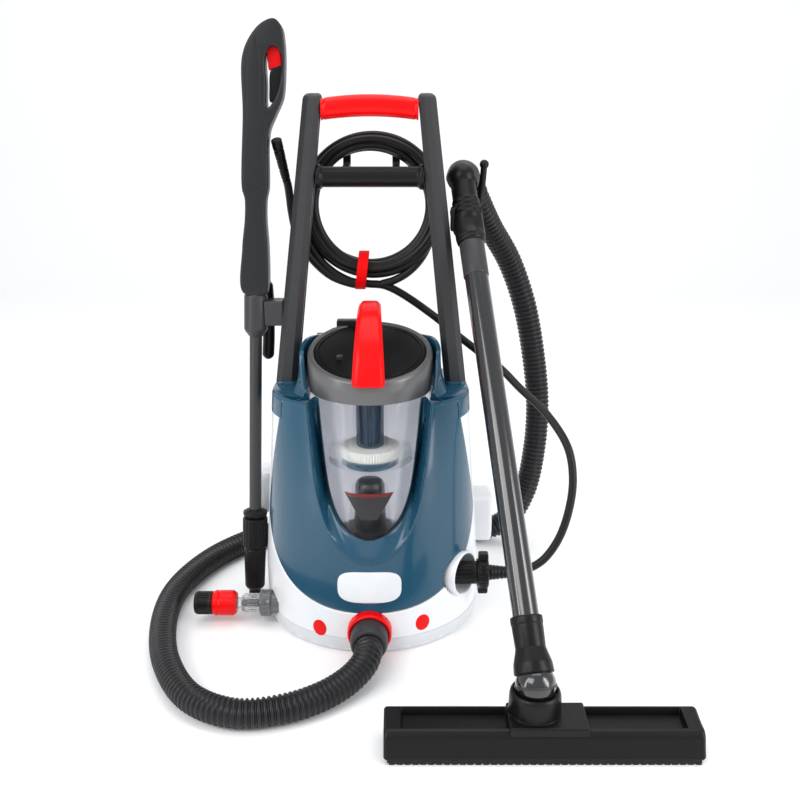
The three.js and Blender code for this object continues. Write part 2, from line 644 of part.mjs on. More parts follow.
const tankTopY = tankCentre(TANK_TOP);
function lidRim() {
  const angles = range(ROUND).slice(0, ROUND).map((t) => t * 2 * Math.PI);
  const at = (angle, radius, y, height) => {
    const py = y - radius * Math.cos(angle);
    return vec(radius * Math.sin(angle), py, height ?? lidPlane(py));
  };
  const drop = (p, by) => vec(p.x, p.y, p.z - by);
  const columns = angles.map((angle) => ({
    outer: [at(angle, TANK_R_TOP, tankTopY, TANK_TOP + GAP), drop(at(angle, LID_R, LID_Y), 14),
      drop(at(angle, LID_R, LID_Y), 4), at(angle, LID_R - 3, LID_Y)],
    inner: [at(angle, LID_MOUTH_R, LID_Y, TANK_TOP + GAP), at(angle, LID_MOUTH_R, LID_Y, TANK_TOP + 8),
      drop(at(angle, LID_DISC_R + GAP, LID_Y), LID_DISC_THICK + 3), at(angle, LID_DISC_R + GAP, LID_Y)],
  }));
  return walled(columns, true);
}
add('lid_rim', lidRim(), 0x4d4f51, 0.35, 0.3);
add('lid_disc', loft([circle(LID_DISC_R, 0, LID_Y, (y) => lidPlane(y) - LID_DISC_THICK - 1),
  circle(LID_DISC_R, 0, LID_Y, (y) => lidPlane(y) - 1)]), 0x121314, 0.4);

const filterY = tankCentre(255);
add('float_cage', turned([[0, 0], [36, 0], [36, 66], [20, 72], [0, 72]], vec(0, filterY, 266 + GAP), vec(0, 0, 1)),
  0x9aa3a6, 0.3);
add('filter_cartridge', turned([[0, 0], [41.5, 0], [41.5, 14], [0, 14]], vec(0, filterY, 252), vec(0, 0, 1), 20),
  0xf4f4f0, 0.9);
add('filter_cap', turned([[0, 0], [38, 0], [40, 3], [40, 12], [0, 12]], vec(0, filterY, 240 - GAP), vec(0, 0, 1)),
  0x2b5878, 0.4);

// The carrying handle: an arched strap from the lid's front rim to its back.
// Its points are [distance behind the lid's centre on a lid of radius STRAP_LID, height, half width].
const STRAP_LID = 86;
const STRAP_END = 76;
const STRAP = [[-93, 366, 22], [-82, 392, 20], [-60, 424, 18], [-28, 449, 16], [10, 458, 15], [44, 448, 15],
  [66, 428, 16], [STRAP_END, lidPlane(LID_Y + STRAP_END * LID_R / STRAP_LID) + 8, 17]];
function tankHandle() {
  const path = STRAP.map(([back, z]) => vec(0, LID_Y + back * LID_R / STRAP_LID, z));
  const rings = path.map((p, i) => {
    const next = path[Math.min(i + 1, path.length - 1)];
    const before = path[Math.max(i - 1, 0)];
    const along = next.clone().sub(before).normalize();
    const up = vec(0, -along.z, along.y);
    const half = STRAP[i][2];
    const corner = (x, h) => vec(x, p.y + up.y * h, p.z + up.z * h);
    return [corner(half - 4, 6), corner(half, 1), corner(half, -6), corner(-half, -6), corner(-half, 1),
      corner(4 - half, 6)];
  });
  return loft(rings);
}
add('tank_handle', tankHandle(), RED, 0.3);

// ---- Spray gun and lance, held on the left upright ----------------------------------------------
const lanceTip = vec(...LANCE_TIP);
const lanceWay = vec(...LANCE_TOP).sub(lanceTip).normalize();
const lanceAt = (z) => lanceTip.clone().addScaledVector(lanceWay, (z - LANCE_TIP[2]) / lanceWay.z);
const onLance = (profile, z, segments) => turned(profile, lanceAt(z), lanceWay, segments);

add('spray_nozzle', onLance([[0, 0], [8.7, 0], [8.7, 14], [14.5, 15], [16, 79], [18.2, 81], [18.2, 126], [0, 126]], 8),
  BLACK, 0.55);
add('lance_collar', onLance([[LANCE_R + GAP, 0], [LANCE_R + 8.5, 0], [LANCE_R + 8.5, 6], [LANCE_R + 3, 9],
  [LANCE_R + GAP, 9], [LANCE_R + GAP, 0]], 136), BLACK, 0.5);
add('lance_tube', onLance([[0, 0], [LANCE_R, 0], [LANCE_R, 269], [0, 269]], 135), GRAPHITE, 0.4);

function gunBody() {
  const outline = [[-16, 0], [16, 0], [18, 4], [18, 6], [17, 60], [14, 102], [14.5, 128], [17, 140], [18, 218],
    [27, 240], [37, 262], [40, 300], [38, 330], [30, 352], [14, 362], [-4, 358], [-16, 330], [-18, 290],
    [-17, 240], [-18, 140], [-14, 128], [-14, 102], [-18, 60]];
  const opening = [[16, 248], [28, 262], [34, 290], [32, 322], [20, 328], [13, 316], [14, 280]];
  const barrel = turned([[0, -55], [LANCE_R + 1, -55], [16.5, -44], [16.5, 2], [0, 2]], vec(0, 0, 0), vec(0, 0, 1));
  const shell = slab(outline, -GUN_DEEP / 2, GUN_DEEP / 2, [opening]);
  const geometry = join(shell, barrel);
  geometry.applyQuaternion(new THREE.Quaternion().setFromUnitVectors(vec(0, 0, 1), lanceWay));
  const base = lanceAt(461);
  return geometry.translate(base.x, base.y, base.z);
}
add('gun_body', gunBody(), 0x3a3c3e, 0.5);
function gunTrigger() {
  const geometry = slab([[15, 318], [16, 300], [22, 282], [26, 284], [23, 300], [24, 318]], -6, 6);
  geometry.applyQuaternion(new THREE.Quaternion().setFromUnitVectors(vec(0, 0, 1), lanceWay));
  const base = lanceAt(461);
  return geometry.translate(base.x, base.y, base.z);
}
add('gun_trigger', gunTrigger(), RED, 0.35);

const clamp = (name, z, side, reach, centre, radius, way) => {
  const at = railAt(z - 18);
  const face = side * (at.x + at.half + GAP);
  const x0 = Math.min(face, centre.x);
  const x1 = Math.max(face, centre.x);
  const block = box(x0, x1, Math.min(at.y, centre.y) - 11, Math.max(at.y, centre.y) + reach, z - 18, z + 18);
  const hollow = rod(radius, centre.clone().addScaledVector(way, -60), centre.clone().addScaledVector(way, 60));
  return add(name, cut(block, hollow), 0x3b3d3f, 0.5);
};
clamp('gun_holder', 434, -1, 8, lanceAt(434), 17.5, lanceWay);

// ---- Suction wand, its clip and the floor nozzle -------------------------------------------------
const WAND_HEAD = [railAt(WAND_HEAD_Z).x + WAND_OUT, 95, WAND_HEAD_Z];
const wandFoot = vec(...WAND_FOOT);
const wandHead = vec(...WAND_HEAD);
const wandWay = wandHead.clone().sub(wandFoot).normalize();
const wandLong = wandHead.distanceTo(wandFoot);
const downWand = (profile, from, segments) => turned(profile,
  wandHead.clone().addScaledVector(wandWay, -from), wandWay.clone().negate(), segments);

// The elbow's centre line from the middle of the wand's ball, round to the hose.
const ELBOW = [[0, 0, 0], [6, 23, -1], [14, 37, -11], [22, 44, -27]];
function wandHeadPiece() {
  const thin = WAND_R + 1.5;
  const thick = WAND_R + 4.5;
  const ball = new THREE.SphereGeometry(thick + 1, 18, 12).translate(...WAND_HEAD);
  const neck = downWand([[0, 0], [thin, 0], [thin, 40], [thick - 1, 44], [thick - 1, 60], [thick, 64],
    [thick, 98], [thin + 1.5, 102], [thin, 158], [WAND_R + GAP, 158], [WAND_R + GAP, 106], [0, 106]], 0, 20);
  const elbow = hose(ELBOW.map(([x, y, z]) => [WAND_HEAD[0] + x, WAND_HEAD[1] + y, WAND_HEAD[2] + z]), thin, 12, 6);
  return join(ball, neck, elbow);
}
add('wand_head', wandHeadPiece(), 0x1b1c1e, 0.45);
add('wand_tube', downWand([[0, 0], [WAND_R, 0], [WAND_R, wandLong - 107], [0, wandLong - 107]], 107, 20),
  0x222326, 0.2);

const neckBall = vec(...NECK_BALL);
function nozzleNeck() {
  const rim = downWand([[0, 30], [WAND_R + GAP, 30], [WAND_R + GAP, 0], [WAND_R + 3, 0], [WAND_R + 3.5, 6],
    [WAND_R + 2, 40], [WAND_R + 2, 44], [0, 44]], wandLong - 24, 20);
  const ball = new THREE.SphereGeometry(24, 20, 12).translate(...NECK_BALL);
  const bridge = rod(17, wandFoot.clone().addScaledVector(wandWay, -12), neckBall, 24);
  return join(rim, bridge, ball);
}
add('nozzle_neck', nozzleNeck(), 0x1f2022, 0.35);

function floorNozzle() {
  const outline = [[NOZZLE_FRONT, BRUSH_HIGH + GAP], [NOZZLE_FRONT + 8, 33], [NOZZLE_FRONT + 14, 38],
    [NOZZLE_BACK - 8, NOZZLE_TOP], [NOZZLE_BACK, NOZZLE_TOP - 8], [NOZZLE_BACK, BRUSH_HIGH + GAP]];
  const shape = new THREE.Shape(outline.map(([y, z]) => new THREE.Vector2(y, z)));
  const body = new THREE.ExtrudeGeometry(shape, { depth: 2 * NOZZLE_HALF, bevelEnabled: false });
  body.applyMatrix4(new THREE.Matrix4().set(0, 0, 1, NOZZLE_X - NOZZLE_HALF, 1, 0, 0, 0, 0, 1, 0, 0, 0, 0, 0, 1));
  const collar = turned([[0, -42], [31, -42], [30, -12], [28, -7], [0, -6]], neckBall, vec(0, 0, 1), 24);
  const socket = new THREE.SphereGeometry(24 + 1, 20, 12).translate(...NECK_BALL);
  const mouth = rod(25, neckBall, vec(NECK_BALL[0], NECK_BALL[1], 120), 20);
  const slot = box(NOZZLE_X - NOZZLE_HALF + 12, NOZZLE_X + NOZZLE_HALF - 12, NOZZLE_FRONT + 20, NOZZLE_BACK - 18,
    0, 24);
  const windows = [[20, 148], [236, 366]].map(([a, b]) => box(NOZZLE_X - NOZZLE_HALF + a,
    NOZZLE_X - NOZZLE_HALF + b, NOZZLE_FRONT + 18, NOZZLE_BACK - 10, 34, 60));
  return cut(join(body, collar), socket, mouth, slot, ...windows);
}
add('floor_nozzle', floorNozzle(), 0x1c1d1f, 0.4);
const nozzleEdge = (y0, y1) => box(NOZZLE_X - NOZZLE_HALF + 4, NOZZLE_X + NOZZLE_HALF - 4, y0, y1, 0, BRUSH_HIGH);
add('brush_front', nozzleEdge(NOZZLE_FRONT + 3, NOZZLE_FRONT + 11), 0x101010, 0.9);
add('brush_back', nozzleEdge(NOZZLE_BACK - 13, NOZZLE_BACK - 5), 0x101010, 0.9);
const clipZ = 560;
const clipCentre = wandHead.clone().addScaledVector(wandWay, (clipZ - WAND_HEAD[2]) / wandWay.z);

// ---- Hoses --------------------------------------------------------------------------------------
const FLOOR_Z = VAC_R + 0.2;
add('vacuum_hose', hose([[0, CUFF_END - 5 * GAP, PORT_Z], [0, -196, 34.6], [-5, -216, 30], [-22, -240, 23], [-52, -268, FLOOR_Z],
  [-98, -296, FLOOR_Z], [-158, -306, FLOOR_Z], [-216, -276, FLOOR_Z], [-264, -198, FLOOR_Z],
  [-290, -100, FLOOR_Z], [-293, -10, FLOOR_Z], [-272, 68, FLOOR_Z], [-236, 132, FLOOR_Z], [-176, 190, FLOOR_Z],
  [-92, 222, FLOOR_Z], [0, 230, FLOOR_Z], [92, 224, FLOOR_Z], [164, 206, FLOOR_Z], [216, 196, 40],
  [246, 194, 92], [260, 194, 170], [262, 196, 250], [252, 196, 330], [234, 192, 412], [208, 184, 480],
  [176, 163, 534], [163.5, 151, 558], [157.2, 145.4, 571.5], [150.5, 139.5, 585]], VAC_R, 8, 60), 0x1c1c1d, 0.5);
const coilTurn = vec(0, 1, -0.13).normalize();
add('hose_coil', turned([[COIL_IN, -COIL_DEEP / 2], [COIL_OUT, -COIL_DEEP / 2], [COIL_OUT, COIL_DEEP / 2],
  [COIL_IN, COIL_DEEP / 2], [COIL_IN, -COIL_DEEP / 2]], vec(...COIL), coilTurn, 32), 0x1a1a1b, 0.45);
add('hose_to_outlet', hose([[195.2, -78, 88], [202, -78, 88], [216, -77, 91], [240, -74, 104], [262, -68, 134], [274, -60, 176],
  [276, -50, 220], [262, -34, 262], [240, -10, 306], [212, 30, 350], [178, 84, 388], [140, 112, 418],
  [100, 120, 444], [64, 112, 462], [36, 104, 459], [10, 100, 459.5]], HP_R, 8, 34), 0x1a1a1b, 0.45);

const gunExit = lanceAt(668).add(vec(25.8, 6, -2));
const sleeveEnd = vec(-119, 96, 612);
add('gun_hose_sleeve', turned([[0, 0], [7.5, 0], [7.5, 12], [6, gunExit.distanceTo(sleeveEnd)],
  [0, gunExit.distanceTo(sleeveEnd)]], gunExit, sleeveEnd.clone().sub(gunExit), 16), BLACK, 0.6);
add('hose_to_gun', hose([[-118.8, 96.3, 611.3], [-117, 101, 601], [-115.5, 105, 584], [-114, 107, 566],
  [-108, 106, 536], [-90, 103, 502], [-60, 100, 473.5], [-30, 99, 462]], HP_R, 8, 20), 0x1a1a1b, 0.45);
add('hose_strap', turned([[23.2, 0], [24.8, 0], [24.8, 15], [23.2, 15], [23.2, 0]], vec(-21, 101.3, 484.4), RIGHT, 24),
  RED, 0.7);
clamp('wand_holder', clipZ, 1, 8, clipCentre, WAND_R + 6, wandWay);
export default model;
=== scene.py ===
"""Looks of an upright washer and vacuum machine: shells, clear tank, handle frame, lance, wand and hoses."""
import math

import bpy
import bmesh
import numpy as np
from mathutils import Matrix


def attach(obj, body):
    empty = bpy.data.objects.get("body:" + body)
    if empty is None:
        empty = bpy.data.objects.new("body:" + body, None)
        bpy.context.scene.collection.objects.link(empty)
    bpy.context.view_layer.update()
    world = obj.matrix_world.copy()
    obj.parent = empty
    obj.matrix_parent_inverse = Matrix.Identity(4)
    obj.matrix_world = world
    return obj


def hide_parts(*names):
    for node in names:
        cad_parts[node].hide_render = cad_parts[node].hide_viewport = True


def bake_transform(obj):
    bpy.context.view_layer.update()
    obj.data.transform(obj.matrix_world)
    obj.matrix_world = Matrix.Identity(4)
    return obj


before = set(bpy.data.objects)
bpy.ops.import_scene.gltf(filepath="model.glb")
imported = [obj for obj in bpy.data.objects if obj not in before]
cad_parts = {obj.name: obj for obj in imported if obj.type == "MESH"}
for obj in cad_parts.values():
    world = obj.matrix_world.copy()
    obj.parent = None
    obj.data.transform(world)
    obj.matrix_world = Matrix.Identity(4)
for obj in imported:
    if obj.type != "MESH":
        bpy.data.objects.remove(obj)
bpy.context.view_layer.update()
MM = 0.001
TAU = 2 * math.pi


# ---- Camera -------------------------------------------------------------------------------------
def linked(name, data):
    """A new object that holds the data, linked to the scene."""
    thing = bpy.data.objects.new(name, data)
    bpy.context.collection.objects.link(thing)
    return thing


def set_camera():
    """A 45 mm lens in front of the machine, pitched 18 degrees down."""
    data = bpy.data.cameras.new("camera")
    data.lens = 45.0
    data.sensor_width = 36.0
    camera = linked("camera", data)
    camera.location = (0.041, -1.335, 0.750)
    camera.rotation_euler = (math.radians(90 - 18), 0, 0)
    bpy.context.scene.camera = camera


set_camera()


# ---- Mesh tools ---------------------------------------------------------------------------------
def unit(v):
    """The vector with length 1."""
    v = np.asarray(v, float)
    return v / np.linalg.norm(v)


def make_mesh(name, points, quads, sharp=40):
    """A mesh object from points in millimetres and an array of quads, split where faces meet sharply."""
    points = np.asarray(points, float) * MM
    quads = np.asarray(quads, int)
    mesh = bpy.data.meshes.new(name)
    mesh.vertices.add(len(points))
    mesh.vertices.foreach_set("co", points.ravel())
    mesh.loops.add(quads.size)
    mesh.loops.foreach_set("vertex_index", quads.ravel())
    mesh.polygons.add(len(quads))
    mesh.polygons.foreach_set("loop_start", np.arange(len(quads)) * 4)
    mesh.polygons.foreach_set("loop_total", np.full(len(quads), 4))
    mesh.update(calc_edges=True)
    mesh.validate()
    tidy_mesh(mesh)
    mesh.shade_smooth()
    mesh.set_sharp_from_angle(angle=math.radians(sharp))
    return linked(name, mesh)


def tidy_mesh(mesh):
    """Merges doubled points, drops faces with no area and turns every face outwards."""
    work = bmesh.new()
    work.from_mesh(mesh)
    bmesh.ops.remove_doubles(work, verts=work.verts, dist=1e-6)
    bmesh.ops.dissolve_degenerate(work, dist=1e-7, edges=work.edges)
    bmesh.ops.recalc_face_normals(work, faces=work.faces)
    work.to_mesh(mesh)
    work.free()


def grid_quads(rows, columns, loop_rows, loop_columns):
    """Quads over a grid of points stored row by row, closed round in either direction when asked."""
    r = np.arange(rows if loop_rows else rows - 1)
    c = np.arange(columns if loop_columns else columns - 1)
    r, c = np.meshgrid(r, c, indexing="ij")
    r2 = (r + 1) % rows
    c2 = (c + 1) % columns
    quads = np.stack([r * columns + c, r * columns + c2, r2 * columns + c2, r2 * columns + c], -1)
    return quads.reshape(-1, 4)


def skin(name, grid, loop_rows=False, loop_columns=True, sharp=40):
    """A surface over a grid of points; rows that shrink to a point close its ends."""
    grid = np.asarray(grid, float)
    rows, columns = grid.shape[:2]
    return make_mesh(name, grid.reshape(-1, 3), grid_quads(rows, columns, loop_rows, loop_columns), sharp)


def capped(grid):
    """Adds a row at each end that shrinks onto the end's middle, so that the skin closes."""
    start = np.repeat(grid[:1].mean(axis=1, keepdims=True), grid.shape[1], axis=1)
    end = np.repeat(grid[-1:].mean(axis=1, keepdims=True), grid.shape[1], axis=1)
    return np.concatenate([start, grid, end])


def shell(name, outer, inner, loop_columns=False, sharp=40, keep=None):
    """A wall between two grids of the same size, with its rims closed; keep masks the grid's quads."""
    rows, columns = outer.shape[:2]
    count = rows * columns
    quads = grid_quads(rows, columns, False, loop_columns)
    if keep is not None:
        quads = quads[keep(outer.reshape(-1, 3)[quads].mean(axis=1))]
    back = quads[:, ::-1] + count
    edges = np.concatenate([quads[:, [k, (k + 1) % 4]] for k in range(4)])
    key = np.sort(edges, axis=1)
    key = key[:, 0] * count + key[:, 1]
    _, index, seen = np.unique(key, return_index=True, return_counts=True)
    rim = edges[index[seen == 1]]
    sides = np.stack([rim[:, 1], rim[:, 0], rim[:, 0] + count, rim[:, 1] + count], -1)
    points = np.concatenate([outer.reshape(-1, 3), inner.reshape(-1, 3)])
    return make_mesh(name, points, np.concatenate([quads, back, sides]), sharp)


def rounded(profile, radius, steps=4):
    """Rounds the inner corners of a polyline with short quadratic curves of about the given radius."""
    profile = [np.asarray(p, float) for p in profile]
    out = [profile[0]]
    for before, corner, after in zip(profile, profile[1:], profile[2:]):
        a, b = before - corner, after - corner
        reach = min(radius, 0.45 * np.linalg.norm(a), 0.45 * np.linalg.norm(b))
        start = corner + unit(a) * reach
        end = corner + unit(b) * reach
        for t in np.linspace(0, 1, steps):
            out.append((1 - t) ** 2 * start + 2 * t * (1 - t) * corner + t ** 2 * end)
    out.append(profile[-1])
    return np.array(out)


def axes_across(way):
    """Two unit vectors square to a direction and to each other."""
    way = unit(way)
    side = np.cross(way, (0, 0, 1.0)) if abs(way[2]) < 0.9 else np.cross(way, (0, 1.0, 0))
    side = unit(side)
    return side, np.cross(way, side)


def turned(name, profile, start, way, bevel=1.2, segments=64, shape=None):
    """A profile of (radius, distance) turned about a line.

    shape(angle, radius, distance), when given, returns the radius to use instead.
    """
    profile = rounded(profile, bevel) if bevel else np.asarray(profile, float)
    if shape is not None:
        fine = [profile[0]]
        for a, b in zip(profile, profile[1:]):
            count = max(1, int(np.linalg.norm(b - a) / 1.5))
            fine.extend(a + (b - a) * k / count for k in range(1, count + 1))
        profile = np.array(fine)
    way = unit(way)
    side, up = axes_across(way)
    angle = around(segments)
    radius = np.repeat(profile[:, :1], segments, axis=1)
    if shape is not None:
        radius = shape(angle[None, :], radius, profile[:, 1:])
    ring = np.cos(angle)[:, None] * side + np.sin(angle)[:, None] * up
    grid = np.asarray(start, float) + radius[..., None] * ring[None] + profile[:, 1, None, None] * way
    return skin(name, grid)


def curve_through(points, step):
    """Centripetal Catmull-Rom curve through given points, sampled at even steps."""
    p = np.asarray(points, float)
    p = np.concatenate([[2 * p[0] - p[1]], p, [2 * p[-1] - p[-2]]])
    out = []
    for a, b, c, d in zip(p, p[1:], p[2:], p[3:]):
        t1 = max(np.linalg.norm(b - a), 1e-6) ** 0.5
        t2 = t1 + max(np.linalg.norm(c - b), 1e-6) ** 0.5
        t3 = t2 + max(np.linalg.norm(d - c), 1e-6) ** 0.5
        t = np.linspace(t1, t2, 24, endpoint=False)[:, None]
        a1 = (t1 - t) / t1 * a + t / t1 * b
        a2 = (t2 - t) / (t2 - t1) * b + (t - t1) / (t2 - t1) * c
        a3 = (t3 - t) / (t3 - t2) * c + (t - t2) / (t3 - t2) * d
        b1 = (t2 - t) / t2 * a1 + t / t2 * a2
        b2 = (t3 - t) / (t3 - t1) * a2 + (t - t1) / (t3 - t1) * a3
        out.append((t2 - t) / (t2 - t1) * b1 + (t - t1) / (t2 - t1) * b2)
    dense = np.concatenate(out + [p[-2:-1]])
    return even(dense, step)


def even(points, step):
    """The same line resampled at even steps along its length."""
    points = np.asarray(points, float)
    run = np.concatenate([[0], np.cumsum(np.linalg.norm(np.diff(points, axis=0), axis=1))])
    count = max(2, int(round(run[-1] / step)) + 1)
    at = np.linspace(0, run[-1], count)
    return np.stack([np.interp(at, run, points[:, k]) for k in range(3)], -1)


def ease(t):
    """Smooth step: 3 t^2 - 2 t^3, held at 0 and 1 outside."""
    t = np.clip(t, 0, 1)
    return t * t * (3 - 2 * t)


def soft(v, power):
    """sign(v) |v|^power, which squares up a circle into a superellipse."""
    return np.sign(v) * np.abs(v) ** power


def around(count):
    """Evenly spaced angles once round."""
    return np.linspace(0, TAU, count, endpoint=False)


def rolled(distance, reach, depth):
    """How far a lip is rolled in: depth (1 - distance / reach)^2 near its edge, nothing beyond the reach."""
    return depth * np.clip(1 - distance / reach, 0, 1) ** 2


def lerp(a, b, t):
    """a + (b - a) t."""
    return a + (b - a) * t


def length_of(points):
    """Length of a line through the points."""
    return float(np.linalg.norm(np.diff(points, axis=0), axis=1).sum())


def sides_along(path):
    """Unit side and up vectors at each point of a path, carried along it without twist."""
    ways = np.gradient(path, axis=0)
    ways /= np.linalg.norm(ways, axis=1, keepdims=True)
    side = axes_across(ways[0])[0]
    sides = []
    for way in ways:
        side = unit(side - way * side.dot(way))
        sides.append(side)
    sides = np.array(sides)
    return sides, np.cross(ways, sides)


def swept(name, path, radius, segments=24, sharp=60):
    """A round section carried along a path; radius is one number or one per point."""
    side, up = sides_along(path)
    angle = around(segments)
    radius = np.broadcast_to(np.asarray(radius, float), (len(path),))
    ring = np.cos(angle)[None, :, None] * side[:, None] + np.sin(angle)[None, :, None] * up[:, None]
    grid = path[:, None] + radius[:, None, None] * ring
    return skin(name, capped(grid), sharp=sharp)


def section_swept(name, path, section):
    """A closed section of (side, up) points carried along a path."""
    side, up = sides_along(path)
    section = np.asarray(section, float)
    grid = path[:, None] + section[None, :, :1] * side[:, None] + section[None, :, 1:] * up[:, None]
    return skin(name, capped(grid), sharp=35)


def block(name, low, high, bevel):
    """A box with rounded edges."""
    low, high = np.asarray(low, float), np.asarray(high, float)
    corners = np.array([[x, y, z] for z in (0, 1) for y in (0, 1) for x in (0, 1)])
    quads = [[0, 2, 3, 1], [4, 5, 7, 6], [0, 1, 5, 4], [2, 6, 7, 3], [0, 4, 6, 2], [1, 3, 7, 5]]
    thing = make_mesh(name, low + corners * (high - low), quads, sharp=180)
    add_bevel(thing, bevel)
    return thing


def add_bevel(thing, width):
    """Rounds every edge sharper than 35 degrees."""
    bevel = thing.modifiers.new("edges", "BEVEL")
    bevel.width = width * MM
    bevel.segments = 3
    bevel.limit_method = "ANGLE"
    bevel.angle_limit = math.radians(35)
    bevel.harden_normals = True


def plate(name, outline, holes, thick, place, bevel):
    """A flat outline with holes, given thickness and rounded rims, then placed by place(points)."""
    curve = bpy.data.curves.new(name, "CURVE")
    curve.dimensions = "2D"
    curve.fill_mode = "BOTH"
    for loop in [outline, *holes]:
        spline = curve.splines.new("POLY")
        spline.points.add(len(loop) - 1)
        flat = np.concatenate([np.asarray(loop, float) * MM, np.zeros((len(loop), 1)),
                               np.ones((len(loop), 1))], 1)
        spline.points.foreach_set("co", flat.ravel())
        spline.use_cyclic_u = True
    curve.extrude = (thick / 2 - bevel) * MM
    curve.bevel_depth = bevel * MM
    curve.offset = -bevel * MM
    curve.bevel_resolution = 3
    source = linked(name + "_outline", curve)
    bpy.context.view_layer.update()
    mesh = bpy.data.meshes.new_from_object(source)
    bpy.data.objects.remove(source)
    points = np.empty(len(mesh.vertices) * 3)
    mesh.vertices.foreach_get("co", points)
    points = place(points.reshape(-1, 3) / MM) * MM
    mesh.vertices.foreach_set("co", points.ravel())
    tidy_mesh(mesh)
    mesh.materials.clear()
    mesh.shade_smooth()
    mesh.set_sharp_from_angle(angle=math.radians(40))
    mesh.name = name
    return linked(name, mesh)


# ---- Shader tools -------------------------------------------------------------------------------
class Value:
    """A number socket that takes part in Python expressions, each adding one Math node."""

    def __init__(self, finish, socket):
        self.finish = finish
        self.socket = socket

    def _math(self, operation, other):
        """One Math node on this socket and another value."""
        return self.finish.node("ShaderNodeMath", {"operation": operation}, {0: self, 1: other})

    def __add__(self, other):
        return self._math("ADD", other)

    __radd__ = __add__

    def __mul__(self, other):
        return self._math("MULTIPLY", other)


class Finish:
    """One material: nodes come from node(), and the last call sets the surface."""

    def __init__(self, name):
        self.material = bpy.data.materials.new(name)
        self.material.use_nodes = True
        self.tree = self.material.node_tree
        self.tree.nodes.clear()
        self.coords = self.node("ShaderNodeTexCoord", {}, {}, "Object")

    def node(self, kind, settings, inputs, output=0):
        """Adds a node, sets it up, links or fills its inputs, and returns one output."""
        made = self.tree.nodes.new(kind)
        for key, value in settings.items():
            setattr(made, key, value)
        for key, value in inputs.items():
            if isinstance(value, Value):
                self.tree.links.new(value.socket, made.inputs[key])
            else:
                made.inputs[key].default_value = value
        return Value(self, made.outputs[output])

    def noise(self, scale, detail=3.0, stretch=(1, 1, 1)):
        """Noise over the object, stretched along its axes."""
        where = self.node("ShaderNodeMapping", {}, {"Vector": self.coords, "Scale": stretch})
        return self.node("ShaderNodeTexNoise", {}, {"Vector": where, "Scale": scale, "Detail": detail},
                         "Fac")

    def mix(self, share, a, b):
        """A colour between two, by share."""
        return self.node("ShaderNodeMix", {"data_type": "RGBA"}, {"Factor": share, 6: a, 7: b}, 2)

    def tint(self, share, colour, dark):
        """From a darker shade of the colour to the colour itself, by share."""
        return self.mix(share, tuple(c * dark for c in colour) + (1,), colour + (1,))

    def bump(self, height, strength, distance):
        """A normal roughened by a height."""
        inputs = {"Strength": strength, "Distance": distance, "Height": height}
        return self.node("ShaderNodeBump", {}, inputs, "Normal")

    def surface(self, **inputs):
        """Joins a Principled shader with these inputs to the output and returns the material."""
        names = {key.replace("_", " "): value for key, value in inputs.items()}
        shader = self.node("ShaderNodeBsdfPrincipled", {}, names)
        out = self.tree.nodes.new("ShaderNodeOutputMaterial")
        self.tree.links.new(shader.socket, out.inputs["Surface"])
        return self.material


GLOSS_SPREAD = 0.03        # how far roughness drifts over a moulded face


def moulded(name, colour, rough, grain=0.03, grain_scale=900.0, coat=0.0, metal=0.0, shine=0.5):
    """Moulded plastic: fine spark-eroded grain, slow changes of gloss, and a slight drift of colour."""
    f = Finish(name)
    slow = f.noise(9.0, 2.0)
    dust = f.noise(60.0, 4.0)
    fine = f.noise(grain_scale, 2.0)
    dark = tuple(c * 0.86 for c in colour) + (1,)
    light = tuple(min(1.0, c * 1.06) for c in colour) + (1,)
    return f.surface(Base_Color=f.mix(slow * 0.6 + dust * 0.4, dark, light), Metallic=metal,
                     Roughness=rough + slow * GLOSS_SPREAD + dust * 0.5 * GLOSS_SPREAD, Coat_Weight=coat,
                     Coat_Roughness=0.08, Specular_IOR_Level=shine, Normal=f.bump(fine, grain, 0.0004))


def clear_plastic(name, colour, alpha, rough, clear):
    """Clear plastic: see-through face on, denser and brighter where it turns away, lightly smudged."""
    f = Finish(name)
    facing = f.node("ShaderNodeLayerWeight", {}, {"Blend": 0.4}, "Facing")
    smudge = f.noise(25.0, 4.0)
    return f.surface(Base_Color=f.tint(smudge, colour, 0.92),
                     Roughness=rough + smudge * 0.05, Alpha=facing * (0.95 - alpha) + alpha, IOR=1.42,
                     Transmission_Weight=clear, Specular_IOR_Level=0.7)


def glow_painted_plastic(name, colour, painted_glow):
    """Pale plastic: a cloudy tint and a faint even glow, which is painted light that brightens it where
    lamps barely reach.
    """
    f = Finish(name)
    cloud = f.noise(18.0, 3.0)
    # The emission is painted light: an even glow on a surface that is no lamp.
    return f.surface(Base_Color=f.tint(cloud, colour, 0.9),
                     Roughness=cloud * 0.06 + 0.35, Emission_Color=colour + (1,), Emission_Strength=painted_glow)


def pleated_paper(name):
    """Filter paper: soft white with fibres and a little grey dust."""
    f = Finish(name)
    fibre = f.noise(260.0, 6.0, (1, 1, 0.2))
    return f.surface(Base_Color=f.mix(fibre, (0.8, 0.8, 0.76, 1), (0.97, 0.97, 0.94, 1)), Roughness=0.95,
                     Normal=f.bump(fibre, 0.25, 0.0006))


def drawn_metal(name, colour, rough, stretch):
    """Metal with fine lines along one way, from drawing or turning."""
    f = Finish(name)
    lines = f.noise(300.0, 3.0, stretch)
    return f.surface(Base_Color=f.tint(lines, colour, 0.8), Metallic=1.0, Roughness=rough + lines * 0.15,
                     Normal=f.bump(lines, 0.1, 0.0003))


